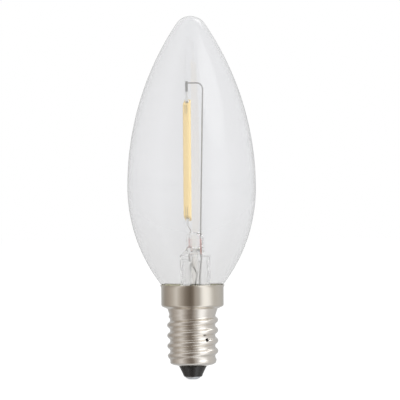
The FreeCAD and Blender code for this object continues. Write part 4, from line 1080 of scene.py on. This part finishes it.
def studio_world():
    """The arctangent of a direction's x and y is its place in the ring of panels. Upwards the panels fade
    into the ceiling, and a window shows where the direction's dot product with its own nears 1."""
    world = bpy.data.worlds.new("studio")
    bpy.context.scene.world = world
    f = Finish(world)
    way = f.add("ShaderNodeTexCoord")[0]
    x, y, z = f.add("ShaderNodeSeparateXYZ", None, {0: way})
    round_about = x.math("ARCTAN2", y * -1.0) * (1 / math.tau) + 0.5
    stops = [
        (bearing / 360 + 0.5, paint(level, level ** (1 + warmth / 2), level ** (1 + warmth)))
        for bearing, level, warmth in PANELS
    ]
    panels = f.add("ShaderNodeValToRGB", {"stops": stops}, {0: round_about})[0]
    room = f.blend(f.step(z, CEILING_FROM, CEILING_FULL), panels, grey(CEILING_LIGHT))
    for bearing, height, light, edge, full in WINDOWS:
        sockets = {0: way, 1: direction(bearing, height)}
        towards = f.add("ShaderNodeVectorMath", {"operation": "DOT_PRODUCT"}, sockets)[1]
        room = f.blend(f.step(towards, edge, full), room, grey(light))
    glossy = f.add("ShaderNodeLightPath")[GLOSSY_RAY]
    colour = f.blend(f.straight_view(), f.blend(glossy, grey(WORLD_LIGHT), room), grey(1.0))
    background = f.add("ShaderNodeBackground", None, {"Color": colour, "Strength": 1.0})[0]
    f.add("ShaderNodeOutputWorld", None, {"Surface": background})
    print(len(PANELS), "panels and", len(WINDOWS), "windows")


studio_world()


# %% Lamps
LAMP_AWAY = 0.9


def lamp(name, bearing, height, size, power):
    """A square soft lamp at a bearing from the front and a height above the horizon, turned to the middle of
    the bulb. It lights what is matt and stays out of sight in metal and glass."""
    light = bpy.data.lights.new(name, "AREA")
    light.size = size
    light.energy = power
    thing = in_scene(name, light)
    way = Vector(direction(math.radians(bearing), math.radians(height)))
    thing.location = way * LAMP_AWAY + Vector((0, 0, BULB_LENGTH * MM / 2))
    thing.rotation_mode = "QUATERNION"
    thing.rotation_quaternion = way.to_track_quat("Z", "Y")
    thing.visible_glossy = False
    thing.visible_transmission = False
    thing.visible_camera = False
    print("lamp", name, power, "W")


lamp("key", bearing=97, height=38, size=0.2, power=4.0)
lamp("fill_left", bearing=-55, height=20, size=0.5, power=3.4)
lamp("fill_right", bearing=40, height=15, size=0.5, power=4.6)


# %% Floor
FLOOR_HALF = 2.0
FLOOR_GLOW, GLOW_SHARE = 1.08, 0.85


def floor():
    """A wide white floor. To the camera it glows a little, so that it reads as white up to the shadow."""
    corners = [(x * FLOOR_HALF, y * FLOOR_HALF, 0) for x, y in ((-1, -1), (1, -1), (1, 1), (-1, 1))]
    mesh = bpy.data.meshes.new("floor")
    mesh.from_pydata(corners, [], [(0, 1, 2, 3)])
    thing = in_scene("floor", mesh)
    f = finish("floor_white")
    matt = f.add("ShaderNodeBsdfDiffuse", None, {"Color": grey(0.9)})[0]
    glow = f.add("ShaderNodeEmission", None, {"Color": grey(1.0), "Strength": FLOOR_GLOW})[0]
    mixed = f.add("ShaderNodeMixShader", None, {0: f.straight_view() * GLOW_SHARE, 1: matt, 2: glow})[0]
    f.add("ShaderNodeOutputMaterial", None, {"Surface": mixed})
    mesh.materials.append(f.owner)
    thing.visible_glossy = False


floor()

# %% [markdown]
# ## The camera
# The photograph was taken from far away with a long lens, almost level with the bulb's middle. The frame is
# 400 pixels wide, and one millimetre of the bulb takes 3.67 of them, which gives the width of the frame at
# the bulb. The bulb leans to the left by less than half a degree, so the camera rolls by that much.

# %% Camera
FRAME_PIXELS = 400
PIXELS_A_MM = 3.67
FOOT_PIXEL = 379.3
AXIS_PIXEL = 191.35
CAMERA_AWAY = 1.3
CAMERA_RISE = math.radians(0.6)
CAMERA_ROLL = math.radians(0.42)


def camera():
    """The lens is as long as the sensor is wide, times the distance, over the width of the frame there. The
    camera stands opposite the middle of the frame, raised by a small angle."""
    data = bpy.data.cameras.new("camera")
    thing = in_scene("camera", data)
    frame_width = FRAME_PIXELS / PIXELS_A_MM * MM
    data.lens = data.sensor_width * CAMERA_AWAY / frame_width
    right = (FRAME_PIXELS / 2 - AXIS_PIXEL) / PIXELS_A_MM * MM
    up = (FOOT_PIXEL - FRAME_PIXELS / 2) / PIXELS_A_MM * MM
    thing.location = (right, -CAMERA_AWAY * math.cos(CAMERA_RISE), up + CAMERA_AWAY * math.sin(CAMERA_RISE))
    thing.rotation_euler = (math.pi / 2 - CAMERA_RISE, CAMERA_ROLL, 0)
    thing.rotation_mode = "XYZ"
    data.clip_start, data.clip_end = 0.05, 20.0
    bpy.context.scene.camera = thing
    print("lens", round(data.lens), "mm")


camera()
bpy.context.scene.view_settings.view_transform = "Standard"
